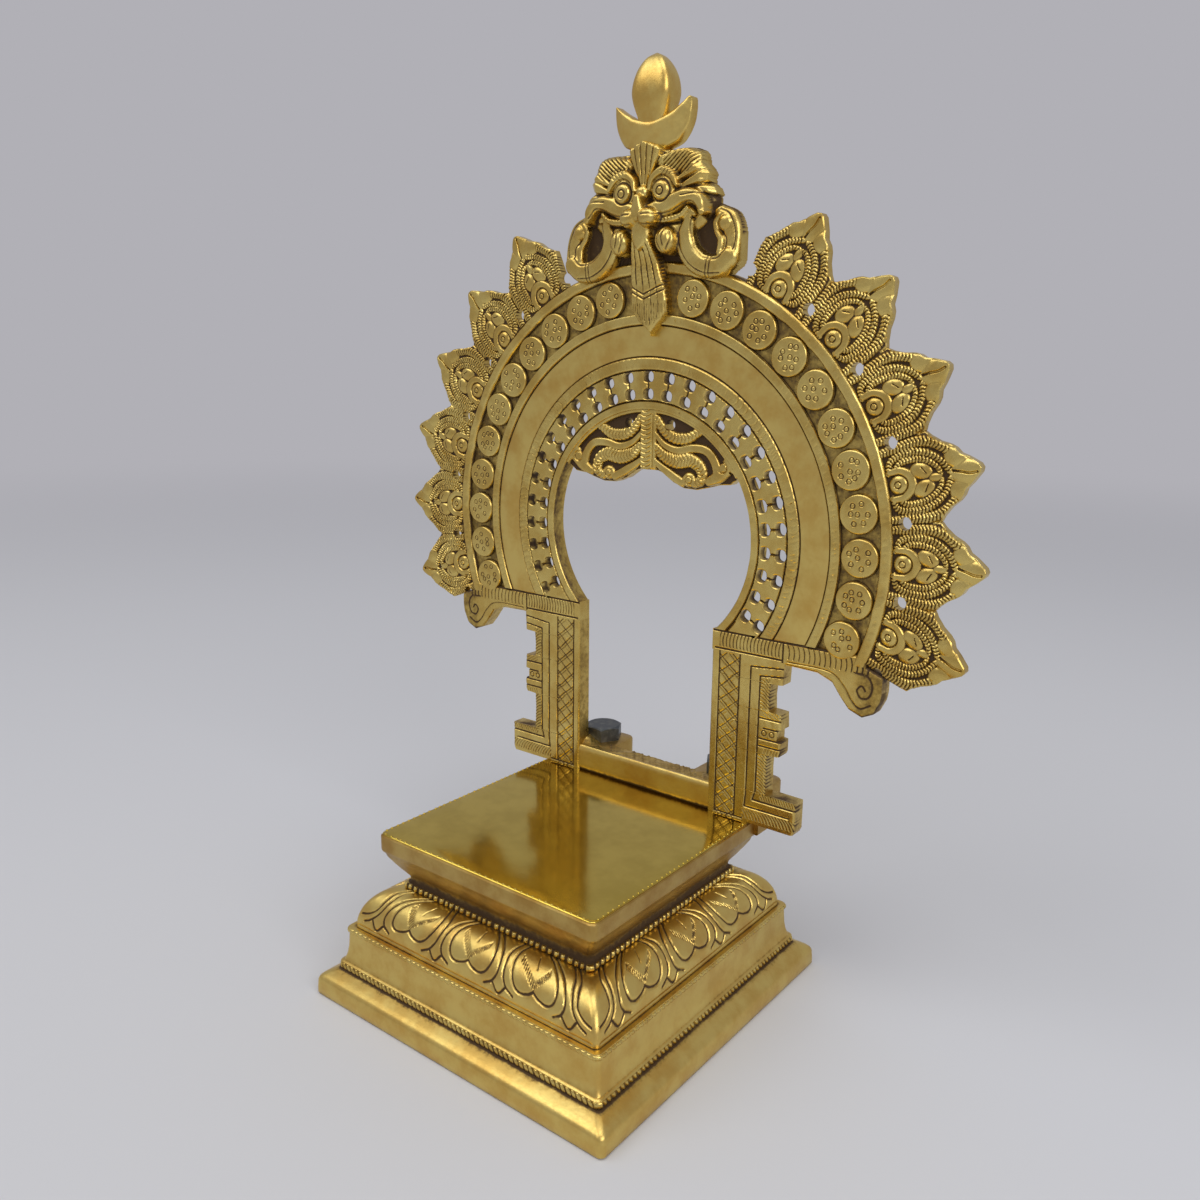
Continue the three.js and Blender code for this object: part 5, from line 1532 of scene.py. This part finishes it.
def lion_mask():
    """The whole mask from its height field, without the cells where the field falls to the ground."""
    across = np.arange(-MASK_HALF, MASK_HALF + 0.01, MASK_STEP)
    x, z = np.meshgrid(across, np.arange(MASK_FOOT, MASK_TOP, MASK_STEP), indexing="xy")
    u = np.abs(x)
    fan, folds = fan_height(x, z)
    tongue, tongue_cuts = tongue_height(x, z)
    height = np.maximum.reduce(head_shapes(u, z) + scroll_shapes(u, z) + [tongue, fan])
    inside = height > MASK_GROUND
    kept = inside[:-1, :-1] & inside[1:, :-1] & inside[:-1, 1:] & inside[1:, 1:]
    # Tongue and leaf bring their own cuts, already taken off their height.
    on_tongue = tongue >= height - 0.9
    on_fan = fan >= height
    cuts = np.select([on_tongue, on_fan], [tongue_cuts, soft(folds * 1.6 - 0.7)], mask_cuts(x, z, u)) * inside
    carved = height - np.where(on_tongue | on_fan, 0, MASK_CUT_DEPTH * cuts)
    carved = np.where(inside, carved, MASK_GROUND)
    y = FRONT_Y - (0.6 * carved + 0.4 * blurred(carved, 1))
    mottled = 0.85 + wander(x * 1.7 + z * 2.9, 0.22, 1.4, 73)
    patina = 0.04 + 0.9 * hollows(carved, 4, 1.2) + 0.8 * cuts + mottled * (1 - soft((height + 1) / 2))
    return pierced_slab(x, y, z, np.clip(patina, 0, 1), kept, MASK_BACK_Y)


new_piece("lion_mask_relief", [lion_mask()], replaces=["lion_mask"], sharp=75)

# %% [markdown]
# Above the face stand a crescent and a bud. The crescent is a slab between two arcs. The bud's level sections
# are squares with strongly rounded corners, a superellipse, and its half width follows a drawn profile.

# %% Crescent and bud
CRESCENT_FRONT_Y = 48.4
CRESCENT_BACK_Y = 55.8
CRESCENT_BOW_RADIUS = 66
BUD_Y = 53.6
BUD_FOOT = 374.8
BUD_TIP = 406.0
BUD_DEPTH_SHARE = 0.72
BUD_SQUARENESS = 4.2
BUD_POINTS = 88
CRESCENT_LINES = 26

crescent_outer = [(-19.5, 386.2), (-19.6, 382), (-18.6, 377), (-15.8, 372.2), (-11.6, 369.0), (0, 366.6),
                  (11.6, 369.0), (15.8, 372.2), (18.6, 377), (19.6, 382), (19.6, 385.6)]
crescent_inner = [(-19.2, 386.9), (-17, 385.4), (-14.4, 383.8), (-11.4, 382.2), (-8.3, 380.7), (0, 378.8),
                  (8.3, 380.7), (14.6, 384.2), (16.8, 386.2), (18.0, 387.0), (19.2, 386.6)]
bud_profile = [(5.2, BUD_FOOT), (6.4, 378.5), (7.9, 383), (9.3, 387), (9.85, 390.4), (9.3, 394.4),
               (8.0, 398.4), (6.2, 401.6), (3.8, 404.2), (0.7, BUD_TIP - 0.2)]


def crescent():
    """A slab from the outer to the inner arc, bowed in plan: y = front + x squared / (2 radius)."""
    share = np.linspace(0, 1, CRESCENT_LINES)[:, None, None]
    x, z = np.moveaxis(flowing(crescent_outer, 8) * (1 - share) + flowing(crescent_inner, 8) * share, 2, 0)
    edge = np.broadcast_to(np.abs(2 * share[..., 0] - 1), x.shape)
    bow = CRESCENT_FRONT_Y + x ** 2 / (2 * CRESCENT_BOW_RADIUS)
    y = bow + 0.9 * edge ** 9 + wander(x * 0.8 + z, 0.06, 4, 81)
    return slab(x, y, z, 0.03 + 0.35 * edge ** 10, CRESCENT_BACK_Y)


def bud():
    """Level sections |a|^n + |b|^n = 1 with n = 4.2, scaled to the drawn half width and less in depth."""
    half, height = flowing(bud_profile, 6).T[:, :, None]
    turn = np.linspace(0, 2 * np.pi, BUD_POINTS, endpoint=False)
    a, b = (np.sign(wave) * np.abs(wave) ** (2 / BUD_SQUARENESS) for wave in (np.cos(turn), np.sin(turn)))
    height = np.broadcast_to(height, (len(height), BUD_POINTS))
    hammered = 1 + wander(a * 6 + height * 0.5, 0.008, 3, 83)
    points = np.stack([half * a * hammered, BUD_Y + BUD_DEPTH_SHARE * half * b * hammered, height], -1)
    return capped_rings(points, [0, BUD_Y, BUD_FOOT], [0, BUD_Y, BUD_TIP], 0.03)


new_piece("crescent_and_bud", [crescent(), bud()], BUFFED, replaces=["crescent_finial"], sharp=50)

# %% [markdown]
# The room is a pale sweep with soft light. The floor fades into the same pale grey as the sky, so no horizon
# shows. Metal is only as good as what it mirrors: large soft panels give broad highlights, and the darker
# room between them gives the brass its depth. Without this plain room the brass would mirror black.

# %% Room
BACKDROP = "#B1B0B6"
PAPER = "#CFD0D2"
FLOOR_RADIUS = 6.0
FLOOR_POINTS = 96
# The paint fades into the glow between these distances from the middle, in metres.
FADE_START = 0.7
FADE_END = 2.6


def make_floor():
    """A broad disc whose paint turns to a plain glow of the backdrop's colour away from the middle."""
    material, tree, place, output = new_material("pale matt paper sweep")
    distance = add(tree, "ShaderNodeVectorMath", {"operation": "LENGTH"}, {0: place}).outputs["Value"]
    paper = add(tree, "ShaderNodeBsdfPrincipled", None,
                {"Base Color": linear(PAPER), "Roughness": 0.75, "Specular IOR Level": 0.2}).outputs[0]
    glow = add(tree, "ShaderNodeEmission", None, {"Color": linear(BACKDROP), "Strength": 1.0}).outputs[0]
    fade = span(tree, distance, FADE_START, FADE_END)
    mix = add(tree, "ShaderNodeMixShader", None, {0: fade, 1: paper, 2: glow})
    tree.links.new(mix.outputs[0], output.inputs[0])
    angle = np.linspace(0, 2 * np.pi, FLOOR_POINTS, endpoint=False)
    rim = np.column_stack([FLOOR_RADIUS * np.cos(angle), FLOOR_RADIUS * np.sin(angle), 0 * angle - 0.2 * MM])
    mesh = bpy.data.meshes.new("floor")
    mesh.from_pydata(rim.tolist(), [], [list(range(FLOOR_POINTS))])
    mesh.materials.append(material)
    floor = bpy.data.objects.new("floor", mesh)
    scene.collection.objects.link(floor)


make_floor()
world = bpy.data.worlds.new("pale room")
world.use_nodes = True
world.node_tree.nodes["Background"].inputs["Color"].default_value = linear(BACKDROP)
world.node_tree.nodes["Background"].inputs["Strength"].default_value = 1.0
scene.world = world
scene.view_settings.view_transform = "Standard"
print("room:", world.name)

# %% [markdown]
# Three soft panels light the throne. The key comes from the left front and high up, the fill from the right,
# and a small one from above draws the bright line on every upper edge.

# %% Lights
THRONE_MIDDLE = np.array([0.0, 0.0, 0.2])


def soft_panel(name, place, width, height, power):
    """A rectangular area light at a place, in metres, that faces the middle of the throne."""
    data = bpy.data.lights.new(name, "AREA")
    data.shape = "RECTANGLE"
    data.size, data.size_y = width, height
    data.energy = power
    light = bpy.data.objects.new(name, data)
    back = np.array(place) - THRONE_MIDDLE
    back /= np.linalg.norm(back)
    right = np.cross([0, 0, 1], back)
    right /= np.linalg.norm(right)
    matrix = np.eye(4)
    matrix[:3, :4] = np.column_stack([right, np.cross(back, right), back, place])
    light.matrix_world = Matrix(matrix.tolist())
    scene.collection.objects.link(light)


soft_panel("key panel", (-0.9, -1.3, 2.2), 1.9, 1.5, 17)
soft_panel("top panel", (0.3, -0.2, 1.7), 0.9, 0.9, 5)
soft_panel("fill panel", (1.5, -0.6, 1.1), 1.2, 1.0, 11)

# %% [markdown]
# The pieces that stay as the frame made them still need their finish: rivets, bolts, nuts and screws.

# %% Finishes on the frame's own pieces
for node_name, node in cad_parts.items():
    is_steel = any(word in node_name for word in ("bolt", "nut", "screw"))
    node.data.materials.clear()
    node.data.materials.append(STEEL if is_steel else CHASED)
print("finished nodes:", len(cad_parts))
